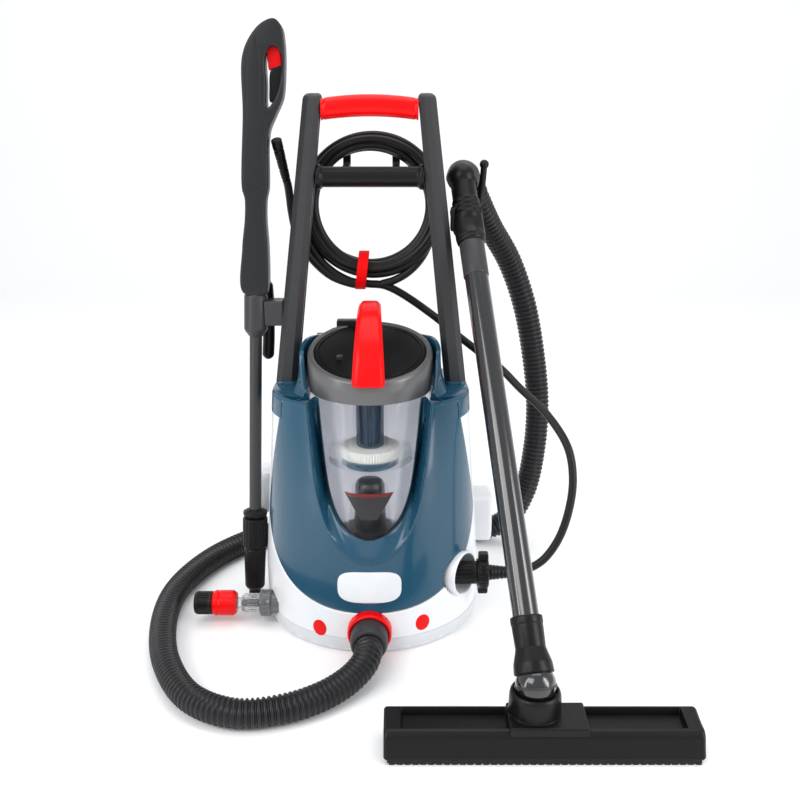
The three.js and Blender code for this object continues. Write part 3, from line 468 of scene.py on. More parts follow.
WHITE = moulded("white_shell", (0.80, 0.82, 0.84), 0.24, 0.02, coat=0.3)
PAN = moulded("pan_grey", (0.66, 0.68, 0.70), 0.36, 0.05)
BLUE = moulded("blue_shell", (0.010, 0.070, 0.125), 0.24, 0.02, coat=0.4, shine=0.3)
RED = moulded("red_plastic", (0.80, 0.001, 0.002), 0.30, 0.03, coat=0.1, shine=0.15)
BLACK = moulded("black_plastic", (0.004, 0.004, 0.0045), 0.34, 0.12, shine=0.25)
GLOSS_BLACK = moulded("tube_black", (0.008, 0.008, 0.009), 0.16, 0.03, coat=0.8, shine=0.6)
GRAPHITE = moulded("graphite_plastic", (0.034, 0.034, 0.036), 0.36, 0.12, shine=0.4)
GUNMETAL = moulded("gunmetal", (0.13, 0.13, 0.132), 0.34, 0.04, coat=0.15, metal=0.45)
HOSE = moulded("hose_black", (0.008, 0.008, 0.009), 0.32, 0.05, shine=0.35)
JACKET = moulded("jacket_rubber", (0.008, 0.008, 0.008), 0.36, 0.10, shine=0.3)
RUBBER = moulded("tyre_rubber", (0.014, 0.014, 0.014), 0.75, 0.3, 500.0, shine=0.3)
GUN_DARK = moulded("gun_dark", (0.015, 0.0155, 0.017), 0.36, 0.10, shine=0.3)
CLEAR = clear_plastic("clear_tank", (0.96, 0.97, 1.0), 0.14, 0.02, 1.0)
CLEAR_ADAPTER = clear_plastic("clear_adapter", (0.86, 0.90, 0.90), 0.5, 0.06, 0.8)
PAPER = pleated_paper("pleat_white")
STEEL = drawn_metal("steel", (0.62, 0.62, 0.64), 0.25, (0.05, 1, 1))
CAST = drawn_metal("cast_alloy", (0.5, 0.51, 0.53), 0.45, (1, 1, 1))
STRAP_RED = moulded("strap_red", (0.80, 0.001, 0.002), 0.55, 0.4, 1500.0, shine=0.12)
# The well's faint glow is painted light, which brightens the inside of the clear tank.
WELL = glow_painted_plastic("well_grey_painted_glow", (0.84, 0.85, 0.92), 0.38)
LABEL = moulded("label_dark", (0.02, 0.018, 0.02), 0.3, 0.05)
LABEL_RED = moulded("label_red", (0.16, 0.004, 0.006), 0.3, 0.05)
LID_BLACK = moulded("lid_black", (0.004, 0.004, 0.004), 0.32, 0.10, shine=0.1)
DARK_INSERT = moulded("dark_insert", (0.03, 0.032, 0.036), 0.3, 0.05)
CAGE = moulded("float_cage", (0.006, 0.026, 0.06), 0.3, 0.04)
LANCE_GREY = moulded("lance_grey", (0.03, 0.031, 0.033), 0.32, 0.04, shine=0.45)
FLANGE_GREY = moulded("flange_grey", (0.12, 0.12, 0.125), 0.22, 0.03, coat=0.4)
CUFF_GREY = moulded("cuff_grey", (0.03, 0.03, 0.032), 0.45, 0.12, shine=0.35)


def dress(thing, body, material, slot, *nodes):
    """Gives a piece its material and body, and hides the nodes it stands for; slot is not used."""
    thing.data.materials.clear()
    thing.data.materials.append(material)
    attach(thing, body)
    if nodes:
        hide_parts(*nodes)
    return thing


# ---- Cords: their routes come first, because the rest of the machine is built round them ---------
HP_R = 5.75                # pressure hose radius
VAC_R = 18.5               # ribbed hose radius over its ridges
FLOOR_Z = VAC_R + 0.2      # centre of the ribbed hose where it lies on the floor
PORT_Z = 35.0
OUTLET_Y, OUTLET_Z = -78, 88
INLET_Y, INLET_Z = -60, 30
CUFF_END = -186.0
COIL = np.array([0, 113, 573.0])
COIL_TURN = unit((0, 1, -0.13))
COIL_MEAN_R = 90.0
COIL_OPEN_R = 113.5
LANCE_TIP = np.array([-176, -2, 8.0])
LANCE_TOP = np.array([-148, 78, 823.0])
LANCE_WAY = unit(LANCE_TOP - LANCE_TIP)
WAND_FOOT = np.array([193, -300, 120.0])
WAND_HEAD = np.array([128, 95, 613.0])
WAND_WAY = unit(WAND_HEAD - WAND_FOOT)
WAND_LONG = float(np.linalg.norm(WAND_HEAD - WAND_FOOT))


def lance_at(z):
    """The lance's middle line at height z."""
    return LANCE_TIP + LANCE_WAY * (z - LANCE_TIP[2]) / LANCE_WAY[2]


VACUUM_ROUTE = [
    (0, CUFF_END - 0.6, PORT_Z), (0, -196, 34.5), (-5, -216, 30), (-22, -240, 23), (-52, -268, FLOOR_Z),
    (-98, -296, FLOOR_Z), (-158, -306, FLOOR_Z), (-216, -276, FLOOR_Z), (-264, -198, FLOOR_Z),
    (-290, -100, FLOOR_Z), (-293, -10, FLOOR_Z), (-272, 68, FLOOR_Z), (-236, 132, FLOOR_Z),
    (-176, 190, FLOOR_Z), (-92, 222, FLOOR_Z), (0, 230, FLOOR_Z), (92, 224, FLOOR_Z), (164, 206, FLOOR_Z),
    (216, 196, 40), (246, 194, 92), (260, 194, 170), (262, 196, 250), (252, 196, 330), (234, 192, 412),
    (208, 184, 480), (176, 163, 534), (163.5, 151, 558), (157.2, 145.4, 571.5), (150.5, 139.5, 585)]
OUTLET_ROUTE = [
    (195.2, -78, 88), (202, -78, 88), (216, -77, 91), (240, -74, 104), (262, -68, 134), (276, -60, 176),
    (281, -48, 218), (275, -30, 256), (250, 5, 292), (214, 45, 320), (187, 70, 343), (148, 90, 369),
    (122, 98, 388), (91, 102, 413), (41, 102, 448), (17, 99.5, 459.5), (-6, 97.6, 462)]
GUN_ROUTE = [
    (-118.8, 96.3, 611.3), (-117, 101, 601), (-115.5, 105, 584), (-114, 107, 566), (-108, 106, 536),
    (-90, 103, 502), (-60, 100, 473.5), (-30, 99, 462)]


def ribbed_hose():
    """Radius R(s) = R0 - d (0.5 - 0.5 cos(2 pi s / pitch))^1.8 along the route: fine rings all the way."""
    pitch, depth = 7.0, 3.0
    path = curve_through(VACUUM_ROUTE, pitch / 8)
    run = np.arange(len(path)) * length_of(path) / (len(path) - 1)
    radius = VAC_R - depth * (0.5 - 0.5 * np.cos(TAU * run / pitch)) ** 1.8
    piece = swept("vacuum_hose_ribs", path, radius, 26, sharp=180)
    piece.data.materials.append(HOSE)
    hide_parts("vacuum_hose")
    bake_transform(piece)


def coil_turns(turns):
    """Clockwise laps seen from the front, whose radius and depth wander so that strands cross."""
    side = np.array([1.0, 0, 0])
    up = np.array([0, 0.13, 1.0])
    up /= np.linalg.norm(up)
    lap = np.linspace(0.04, turns - 0.02, int(turns * 40))
    angle = -math.pi / 2 - TAU * lap
    loose = 1 - ease(np.minimum(lap, turns - lap) / 0.3)
    wander = 8.5 * np.sin(lap * 2.39 + 0.6) + 1.5 * np.sin(angle * 2 + lap)
    radius = (COIL_MEAN_R + wander) * (1 - loose) + COIL_OPEN_R * loose
    depth = 6.6 * np.sin(lap * 3.9 + 1.0) * (1 - loose)
    return COIL + (radius * np.cos(angle))[:, None] * side + (radius * np.sin(angle))[:, None] * up \
        + depth[:, None] * COIL_TURN


def pressure_hose():
    """The outlet lead runs straight into the coil's turns, and the gun lead comes out of the strap."""
    lead = np.array(OUTLET_ROUTE, float)
    path = curve_through(np.concatenate([lead, coil_turns(5)]), 2.5)
    first = swept("pressure_hose_coil", path, HP_R, 16, sharp=180)
    gun = curve_through(GUN_ROUTE + [(-13, 98.5, 459.6)], 2.5)
    second = swept("pressure_hose_gun", gun, HP_R, 16, sharp=180)
    for piece in (first, second):
        piece.data.materials.append(JACKET)
    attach(first, "root")
    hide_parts("hose_to_outlet", "hose_coil")
    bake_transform(second)
    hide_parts("hose_to_gun")


ribbed_hose()
pressure_hose()


# ---- Body shells --------------------------------------------------------------------------------
WALL = 3.0
SHOULDER_Z = 331.0
SPLIT_FRONT, SPLIT_RISE, SPLIT_POWER = 61.0, 105.0, 2.6
REAR_POWER = 2.8
SHELL_EDGE_LOW, SHELL_EDGE_TOP = math.radians(80), math.radians(60)
PAN_TOP = 22.0
TANK_FLOOR, TANK_TOP, TANK_R_LOW, TANK_R_TOP = 150.0, 338.0, 50.0, 79.0
LID_R, LID_Y, LID_Z, LID_SLOPE, LID_DISC_R = 86.0, -10.0, 391.0, 0.25, 77.0
CAP_Z, FILTER_Z, BASKET_Z = 240, 252, 266.4
PLEATS, PLEAT_DEPTH, BASKET_SLOTS, SLOT_DEPTH = 64, 3.6, 12, 1.6
LABEL_LOW, LABEL_HIGH, LABEL_TOP = 188.5, 218.5, 223.0
BADGE_WIDE, BADGE_HIGH, BADGE_Z = 43, 21.5, 98
WHEEL_X, WHEEL_Y, WHEEL_Z = 124, 140, 38
COWL_IN, COWL_OUT, COWL_Y, COWL_OPEN = 90.5, 97.0, -8.0, math.radians(66)
DECK_TOP, DECK_FACE = 336.3, 336.2
BAND_LOW, BAND_HIGH = 306, 25
WELL_OPEN, WELL_LOW, WELL_TOP = math.radians(84), 148, 330
# The collar round the window, at its outer crease and at the window itself: foot, height, half width,
# how much narrower the foot is, and how square the foot is.
CREASE_TIP, CREASE_HIGH, CREASE_HALF, CREASE_FLARE, CREASE_ROUND = 130, 200, 84, 0.2, 4
WINDOW_TIP, WINDOW_HIGH, WINDOW_HALF, WINDOW_FLARE, WINDOW_ROUND = 163, 173, 71, 0.25, 6


def side_half(z):
    """The body's half width: 153.5, less 0.0657 for each mm above 80."""
    return 153.5 - 0.0657 * np.maximum(0, z - 80)


def front_depth(z):
    """How far the body reaches forward: 148 - 0.00463 z^1.6."""
    return 148 - 0.00463 * z ** 1.6


def rear_depth(z):
    """How far the body reaches back: 134 - 0.05 z."""
    return 134 - 0.05 * z


def body_point(angle, z, inset=0.0):
    """x = (a - i) sin A, y = -(f - i) cos A in front; behind, a superellipse."""
    s, c = np.sin(angle), np.cos(angle)
    a = side_half(z) - inset
    x = np.where(c >= 0, a * s, a * np.sign(s) * np.abs(s) ** (2 / REAR_POWER))
    y = np.where(c >= 0, -(front_depth(z) - inset) * c,
                 (rear_depth(z) - inset) * np.abs(c) ** (2 / REAR_POWER))
    return np.stack(np.broadcast_arrays(x, y, z), -1)


def split_z(angle):
    """Height of the line between housing and shell: it sweeps up from the front to each side."""
    share = np.minimum(np.abs(angle) / SHELL_EDGE_LOW, 1)
    return SPLIT_FRONT + SPLIT_RISE * share ** SPLIT_POWER


def tank_radius(z):
    """The tank's radius, straight from its floor to its mouth."""
    return TANK_R_LOW + (TANK_R_TOP - TANK_R_LOW) * (z - TANK_FLOOR) / (TANK_TOP - TANK_FLOOR)


def tank_centre(z):
    """The tank's middle, so that its front stays 5 mm behind the body's front line."""
    return 5 - front_depth(z) + tank_radius(z)


def tank_face(x, z):
    """The tank's front: the middle less sqrt(R^2 - x^2)."""
    return tank_centre(z) - np.sqrt(np.maximum(0, tank_radius(z) ** 2 - x * x))


def outline_half(t, z):
    """Half width at height z of the outline a share t of the way from the collar's crease to the window.

    half (1 - flare (1 - u)) sqrt(1 - (1 - u)^round), where u runs from 0 at the foot to 1 at the top.
    """
    u = np.clip((z - lerp(CREASE_TIP, WINDOW_TIP, t)) / lerp(CREASE_HIGH, WINDOW_HIGH, t), 0, 1)
    wide = lerp(CREASE_HALF, WINDOW_HALF, t) * (1 - lerp(CREASE_FLARE, WINDOW_FLARE, t) * (1 - u))
    return wide * np.sqrt(1 - (1 - u) ** lerp(CREASE_ROUND, WINDOW_ROUND, t))


def collar_share(x, z):
    """Which outline a point lies on, 0 outside the crease to 1 at the window, by halving."""
    x = np.abs(x)
    low, high = np.zeros_like(x), np.ones_like(x)
    for _ in range(14):
        middle = (low + high) / 2
        inside = x < outline_half(middle, z)
        low, high = np.where(inside, middle, low), np.where(inside, high, middle)
    return np.where(x >= outline_half(0.0, z), 0.0, low)


def shell_point(angle, z, inset=0.0):
    """The body's skin, drawn in round the window: a raised crease, then a smooth slope down to the tank."""
    p = body_point(angle, z, inset)
    share = collar_share(p[..., 0], z)
    height = np.broadcast_to(z, share.shape)
    rim = tank_face(p[..., 0], height) - 5.0 + inset
    y = p[..., 1] + (rim - p[..., 1]) * ease(share * 1.02)
    crease = 1.5 * np.exp(-((share - 0.05) / 0.14) ** 2) * (share > 0)
    p[..., 1] = y - crease
    return p


def clear_of(centre, way, radius):
    """A test that keeps quads whose middle lies outside a round passage."""
    centre, way = np.asarray(centre, float), unit(way)

    def keep(middles):
        """True where a quad's middle is outside the passage."""
        off = middles - centre
        along = off @ way
        return (np.linalg.norm(off - along[:, None] * way, axis=1) > radius) | (along < 0)
    return keep


def both(*tests):
    """A test that keeps what every one of the tests keeps."""
    def keep(middles):
        """True where all the tests are."""
        out = np.ones(len(middles), bool)
        for test in tests:
            out &= test(middles)
        return out
    return keep


PORT_HOLE = clear_of((0, -60, PORT_Z), (0, -1, 0), 29.0)
OUTLET_HOLE = clear_of((90, OUTLET_Y, OUTLET_Z), (1, 0, 0), 29.5)
INLET_HOLE = clear_of((-90, INLET_Y, INLET_Z), (-1, 0, 0), 18.0)


def front_face(x, z):
    """The front of the plain body: -f(z) sqrt(1 - (x / a(z))^2)."""
    return -front_depth(z) * np.sqrt(1 - (x / side_half(z)) ** 2)


def base_pieces():
    """The pan, with its floor and inside, and the white housing round it with holes for the ports."""
    angles = np.linspace(-math.pi, math.pi, 240, endpoint=False)
    heights = np.array([0.0, 0.6, 2.0, 4.5, 8, 14, 20.6, 21.4, PAN_TOP - 0.2])
    inset = np.array([7.5, 5.6, 3.6, 2.0, 1.0, 0.4, 0.0, 0.3, 1.0])
    a, z = np.meshgrid(angles, heights)
    outer = body_point(a, z, inset[:, None])
    inner = body_point(a, np.maximum(z, 4.0), 8.0)
    floor = np.repeat(outer[:1].mean(axis=1, keepdims=True), len(angles), 1)
    roof = np.repeat(inner[:1].mean(axis=1, keepdims=True), len(angles), 1)
    pan = skin("pan", np.concatenate([floor, outer, inner[::-1], roof]), sharp=50)
    dress(pan, "root", PAN, "pan_grey")

    rows = np.linspace(0, 1, 60)
    a, t = np.meshgrid(angles, rows)
    low, high = PAN_TOP + 0.3, split_z(a) - 0.9
    z = low + t * (high - PAN_TOP - 0.3)
    roll = rolled(high - z, 1.4, 1.0) + rolled(z - low, 1.4, 0.8)
    outer, inner = body_point(a, z, roll), body_point(a, z, WALL)
    lower = shell("lower_housing", outer, inner, loop_columns=True,
                  keep=both(PORT_HOLE, OUTLET_HOLE, INLET_HOLE))
    dress(lower, "root", WHITE, "white_shell", "base_housing")


def front_shell():
    """Rows run up the body and columns round it; the window is where the outline is fully closed in."""
    side = np.linspace(-1, 1, 300)
    t = np.linspace(0, 1, 220)
    s, t = np.meshgrid(side, t)
    low = split_z(s * SHELL_EDGE_LOW) + 0.15
    z = low + t * (DECK_TOP - 0.1 - low)
    share = np.clip((z - SPLIT_FRONT - SPLIT_RISE) / (SHOULDER_Z - SPLIT_FRONT - SPLIT_RISE), 0, 1)
    angle = s * (SHELL_EDGE_LOW + (SHELL_EDGE_TOP - SHELL_EDGE_LOW) * share)
    edge = rolled(z - low, 1.6, 1.0) + rolled((1 - np.abs(s)) * 150, 1.6,
                                              0.9) + rolled(DECK_TOP - z, 3.0, 2.4)
    outer, inner = shell_point(angle, z, edge), shell_point(angle, z, WALL)

    def outside_window(middles):
        """True outside the window's outline."""
        return np.abs(middles[:, 0]) >= outline_half(1.0, middles[:, 2]) * 0.985

    thing = shell("front_cover", outer, inner, keep=both(outside_window, PORT_HOLE, OUTLET_HOLE))
    return dress(thing, "root", BLUE, "blue_shell", "front_shell")


def window_seal():
    """A thin black bead that follows the window's outline just proud of the tank."""
    z = WINDOW_TIP + (SHOULDER_Z - WINDOW_TIP) * np.linspace(1, 0, 60) ** 1.8
    right = np.stack([outline_half(1.0, z), z], -1)
    loop = np.concatenate([right, (right * (-1, 1))[::-1][1:]])
    y = tank_face(loop[:, 0], loop[:, 1]) - 3.2
    path = np.stack([loop[:, 0], y, loop[:, 1]], -1)
    thing = swept("window_seal", curve_through(path[::3], 2.0), 1.7, 10)
    dress(thing, "root", BLACK, "black_plastic")


def rear_shell():
    """The white back of the body, with a shallow field of vent slots high on it."""
    low = SPLIT_FRONT + SPLIT_RISE + 0.15
    u = np.linspace(0, 1, 200)
    z = np.linspace(low, SHOULDER_Z, 60)
    u, z = np.meshgrid(u, z)
    share = (z - low) / (SHOULDER_Z - low)
    edge = SHELL_EDGE_LOW + (SHELL_EDGE_TOP - SHELL_EDGE_LOW) * share + math.radians(0.3)
    angle = edge + (2 * math.pi - 2 * edge) * u
    behind = np.cos(angle) < -0.25
    point = body_point(angle, z, 0.0)
    slot = (np.cos(z / 9.0 * math.pi) > 0.25) & (np.abs(point[...,
                                                              0]) < 62) & (z > 200) & (z < 300) & behind
    outer = body_point(angle, z, slot * 1.8)
    thing = shell("rear_cover", outer, body_point(angle, z, WALL), sharp=30)
    return dress(thing, "root", WHITE, "white_shell", "rear_housing")


def lid_plane(y):
    """Height of the lid's slanted plane at depth y."""
    return LID_Z + LID_SLOPE * (y - LID_Y)


def cowl():
    """The ring behind the tank, a smooth wall that flares down into the shoulder deck."""
    angle = np.linspace(COWL_OPEN, TAU - COWL_OPEN, 140)
    rise = np.linspace(0, 1, 30)
    a, t = np.meshgrid(angle, rise)
    front = np.minimum(a, TAU - a)
    fade = ease((front - COWL_OPEN) / 0.35)
    crown = lid_plane(COWL_Y - COWL_OUT * np.cos(a)) + 2 - 15 * ease((front - 1.75) / 0.8)
    top = DECK_TOP + (crown - DECK_TOP) * (0.12 + 0.88 * fade)
    z = SHOULDER_Z + 0.5 + t * (top - SHOULDER_Z - 0.5)
    round_top = rolled(top - z, 2.2, 1.5)
    radius = COWL_OUT - round_top + 12.0 * (1 - t) ** 3
    outer = np.stack([radius * np.sin(a), COWL_Y - radius * np.cos(a), z], -1)
    inner_r = COWL_IN + round_top * 0.6
    inner = np.stack([inner_r * np.sin(a), COWL_Y - inner_r * np.cos(a), z], -1)
    ring = shell("cowl_ring", outer, inner)
    dress(ring, "root", BLUE, "blue_shell", "top_cowl")


def shoulder_deck():
    """The deck between the body's rim and the cowl: rows from under the rim, over it and in to the ring."""
    angles = np.linspace(-math.pi, math.pi, 240, endpoint=False)
    inset = np.array([1.2, 1.2, 0.0, 0.0, 0.9, 2.2])
    height = np.array([328.5, 330.9, 331.2, 333.6, 335.0, 335.9])
    a, z = np.meshgrid(angles, height)
    edge = np.where((np.abs(a) < SHELL_EDGE_TOP)[..., None],
                    shell_point(a, np.full_like(a, SHOULDER_Z),
                                inset[:, None]) * (1, 1, 0) + z[..., None] * (0, 0, 1),
                    body_point(a, z, inset[:, None]))
    well = np.stack([(COWL_IN + 1) * np.sin(angles), COWL_Y - (COWL_IN + 1) * np.cos(angles),
                     np.full_like(angles, DECK_FACE)], -1)
    # In front the deck only keeps a narrow shoulder beside the tank.
    front = np.abs(angles) < math.radians(62)
    well = np.where(front[:, None], edge[-1] * (1, 1, 0) + (0, 0, DECK_FACE), well)
    under = well - (0, 0, 4.6)
    grid = np.concatenate([edge, well[None], under[None], edge[:1]])

    points = grid.reshape(-1, 3)
    quads = grid_quads(*grid.shape[:2], False, True)
    middles = points[quads].mean(axis=1)
    by_tank = (middles[:, 1] < COWL_Y - 20) & (np.abs(middles[:, 0]) < 73)
    deck = make_mesh("shoulder_deck", points, quads[~by_tank])
    dress(deck, "root", BLUE, "blue_shell")


def shoulder_band():
    """A blue band that carries the shell's colour round the back, just under the deck."""
    edge = SHELL_EDGE_TOP + math.radians(0.5)
    a, t = np.meshgrid(np.linspace(edge, TAU - edge, 200), np.linspace(0, 1, 20))
    z = BAND_LOW + BAND_HIGH * t
    roll = rolled(z - BAND_LOW, 1.4, 1.1)
    band = shell("shoulder_band", body_point(a, z, -0.7 + roll), body_point(a, z, 0.6))
    dress(band, "root", BLUE, "blue_shell")


def inner_well():
    """The pale well behind the tank: an arc 4 mm outside the tank's wall, with a faint painted glow."""
    a, z = np.meshgrid(np.linspace(WELL_OPEN, TAU - WELL_OPEN, 90), np.linspace(WELL_LOW, WELL_TOP, 40))
    faces = []
    for out in (4.0, 6.0):
        radius = tank_radius(z) + out
        faces.append(np.stack([radius * np.sin(a), tank_centre(z) - radius * np.cos(a), z], -1))
    dress(shell("tank_well", *faces), "root", WELL, "pan_grey")


def badge():
    """A blank pill that follows the shell: rings of a superellipse, r from the rim to the middle."""
    r = np.array([1.0, 1.0, 0.995, 0.98, 0.95, 0.9, 0.75, 0.5, 0.25, 0.0])
    proud = np.array([-0.6, 0.6, 1.3, 1.8, 2.1, 2.2, 2.2, 2.2, 2.2, 2.2])
    a = around(160)
    x = BADGE_WIDE * r[:, None] * soft(np.cos(a), 0.5)
    z = BADGE_Z + BADGE_HIGH * r[:, None] * soft(np.sin(a), 0.62)
    y = front_face(x, z) - proud[:, None]
    grid = np.stack([x, y, z], -1)
    back = grid[:1].mean(axis=1, keepdims=True) + np.zeros_like(grid[:1])
    dress(skin("badge_blank", np.concatenate([back, grid])), "root", WHITE, "white_shell", "badge_plate")


def sticker(name, x, z):
    """A thin red oval that lies on the housing."""
    a, r = np.meshgrid(around(48), np.linspace(0, 1, 8))
    px, pz = x + 9.5 * r * np.cos(a), z + 11.5 * r * np.sin(a)
    y = front_face(px, pz)
    outer = np.stack([px, y - 0.5 * (r < 0.99) - 0.05, pz], -1)
    grid = np.concatenate([outer, np.stack([px, y + 0.4, pz], -1)[-1:]])
    dress(skin(name, grid), "root", RED, "red_plastic")


def side_pod(name, node, side, reach, y0, y1, z0, z1):
    """A superellipse bulge on the housing's side, with a soft shoulder and a nearly flat face."""
    a, s = np.meshgrid(around(96), np.linspace(0, 1, 24))
    shrink = 1 - 0.9 * np.clip((s - 0.55) / 0.45, 0, 1) ** 2.6
    y = (y0 + y1) / 2 + soft(np.cos(a), 0.55) * (y1 - y0) / 2 * shrink
    z = (z0 + z1) / 2 + soft(np.sin(a), 0.55) * (z1 - z0) / 2 * shrink
    base = side_half(z) - 8
    top = reach - base
    x = side * (base + top * np.clip(s / 0.72, 0, 1) ** 0.8)
    thing = skin(name, capped(np.stack([x, y, z], -1)), sharp=60)
    dress(thing, "root", WHITE, "white_shell", node)


base_pieces()
front_shell()
window_seal()
rear_shell()
cowl()
shoulder_deck()
shoulder_band()
inner_well()
badge()
sticker("oval_left", -68.6, 32)
sticker("oval_right", 71.8, 39)
side_pod("pod_right", "side_pod_right", 1, 178, 28, 96, 78, 154)
side_pod("pod_left", "side_pod_left", -1, 169, 34, 96, 122, 192)


# ---- Tank, filter, lid and carrying strap -------------------------------------------------------
def clear_bowl():
    """The clear tank: R lerps from 50 to 79 up its height, with a rounded floor and a 2.5 mm wall."""
    angle = around(160)
    drop = np.array([0, 1, 3, 6.5, 11, 17.0])
    tuck = np.array([14, 9, 5, 2.2, 0.6, 0.0])
    z = np.concatenate([TANK_FLOOR + drop, np.linspace(TANK_FLOOR + 22, TANK_TOP, 40)])
    inset = np.concatenate([tuck, np.zeros(40)])

    def ring(z, inset):
        """Rings of points that far inside the tank's radius, one for each height."""
        radius = (tank_radius(z) - inset)[:, None]
        y = tank_centre(z)[:, None] - radius * np.cos(angle)
        return np.stack([radius * np.sin(angle), y, np.repeat(z[:, None], len(angle), 1)], -1)

    outer, inner = ring(z, inset), ring(np.maximum(z, TANK_FLOOR + 3), inset + 2.5)
    bowl = skin("clear_bowl", capped(np.concatenate([outer, inner[::-1]])))
    dress(bowl, "tank", CLEAR, "clear_tank", "dust_tank")


def bowl_stem():
    """A dark stem that stands on the floor of the bowl, seen through its front."""
    foot = tank_centre(200.0)
    stem = turned("bowl_stem", [(0, 0), (20, 0), (22, 3), (20, 66), (17, 72), (0, 72)], (0, foot - 12, 154),
                  (0, 0, 1), 1.0)
    dress(stem, "tank", DARK_INSERT, "graphite_plastic")


def filter_pieces():
    """The pleated cartridge and its cap, and the slotted basket above them."""
    centre_y = tank_centre(255.0)

    def pleats(angle, radius, along):
        """Folds round the cartridge's outside."""
        fold = 0.5 + 0.5 * np.cos(PLEATS * angle)
        return np.where(radius > 34, radius - PLEAT_DEPTH * fold ** 0.7, radius)

    paper = turned("pleated_filter", [(0, 0), (41.5, 0), (41.5, 14), (0, 14)], (0, centre_y, FILTER_Z),
                   (0, 0, 1), 0.6,
                   PLEATS * 8, pleats)
    dress(paper, "tank", PAPER, "pleat_white", "filter_cartridge")
    cap = turned("filter_end", [(0, 0), (37, 0), (40, 3), (40, 11.7), (36, 11.7), (0, 11.7)],
                 (0, centre_y, CAP_Z), (0, 0, 1), 1.5)
    dress(cap, "tank", BLUE, "blue_shell", "filter_cap")

    def bars(angle, radius, along):
        """Slots sunk into the basket's wall."""
        slot = (np.cos(BASKET_SLOTS * angle) > 0.2) & (along > 8) & (along < 62) & (radius > 15)
        return radius - SLOT_DEPTH * slot
    cage = turned("float_basket", [(0, 0), (19, 0), (19, 66), (14, 72), (0, 72)], (0, centre_y, BASKET_Z),
                  (0, 0, 1),
                  2.0, 192, bars)
    dress(cage, "tank", CAGE, "graphite_plastic", "float_cage")


def tank_label():
    """A blank dark trapezoid on the bowl's front, narrower at the foot, with a red strip along its head."""
    for name, low, high, material in (("label_blank", LABEL_LOW, LABEL_HIGH, LABEL),
                                      ("label_head", LABEL_HIGH + 0.2, LABEL_TOP, LABEL_RED)):
        z, t = np.meshgrid(np.linspace(low, high, 16), np.linspace(-1, 1, 24), indexing="ij")
        x = t * (11 + 22 * (z - LABEL_LOW) / (LABEL_TOP - LABEL_LOW))
        face = tank_face(x, z)
        sheet = shell(name, np.stack([x, face - 0.45, z], -1), np.stack([x, face - 0.1, z], -1))
        dress(sheet, "tank", material, "black_plastic" if material is LABEL else "red_plastic")


def lid_pieces():
    """The sloped rim is a lofted ring from the tank's mouth to the slanted lid plane, then a disc in it."""
    angle = around(200)
    mouth_y = float(tank_centre(TANK_TOP))

    def ring(radius, y, height=None, drop=0.0):
        """A ring at one height, or a drop below the slanted lid plane."""
        py = y - radius * np.cos(angle)
        z = (lid_plane(py) if height is None else np.full_like(py, height)) - drop
        return np.stack([radius * np.sin(angle), py, z], -1)

    low, high = ring(LID_R - 2, LID_Y, 339.0), ring(LID_R, LID_Y, drop=15)
    flare = [lerp(low, high, t) for t in np.linspace(0, 1, 14)]
    line = [ring(66, LID_Y, 339.0), ring(TANK_R_TOP - 2, mouth_y, 338.6), ring(LID_R - 3.4, LID_Y, 338.4),
            *flare,
            ring(LID_R, LID_Y, drop=13.8), ring(LID_R, LID_Y, drop=4), ring(LID_R - 0.5, LID_Y, drop=1.6),
            ring(LID_R - 1.8, LID_Y, drop=0.4), ring(LID_R - 3.4, LID_Y),
            ring(LID_DISC_R + 1.6, LID_Y, drop=0.2),
            ring(LID_DISC_R + 0.6, LID_Y, drop=1.0), ring(LID_DISC_R + 0.4, LID_Y, drop=8),
            ring(66, LID_Y, drop=9)]
    rim = skin("lid_frame", np.stack(line), loop_rows=True)
    dress(rim, "tank", GUNMETAL, "gunmetal", "lid_rim")
    disc = [ring(LID_DISC_R * r, LID_Y, drop=d) for r, d in
            ((0, 7), (0.98, 7), (1, 6), (1, 2.0), (0.99, 1.2), (0.97, 0.9), (0.93, 0.9), (0.925, 1.9),
             (0.905, 1.9), (0.9, 1.0), (0.5, 0.6), (0, 0.4))]
    dress(skin("lid_top", np.stack(disc)), "tank", LID_BLACK, "black_plastic", "lid_disc")


def lid_fittings():
    """A small slide on the lid, and a flat latch at the back left, between lid and cowl."""
    low, high = (-45, LID_Y - 24.5), (-37, LID_Y - 11.5)
    slide = block("lid_slide", (*low, lid_plane(low[1]) - 0.8), (*high, lid_plane(high[1]) + 0.1), 0.4)
    dress(slide, "tank", GUN_DARK, "graphite_plastic")
    latch = block("lid_latch", (-50, 60, 401), (-10, 76, 416), 2.5)
    dress(latch, "tank", BLACK, "black_plastic")


STRAP = np.array([(-103, 366, 22), (-92, 391, 20.5), (-70, 420, 18.5), (-38, 443, 16.5), (0, 451, 15),
                  (34, 443, 14), (56, 427, 14), (66, 418, 14)], float)


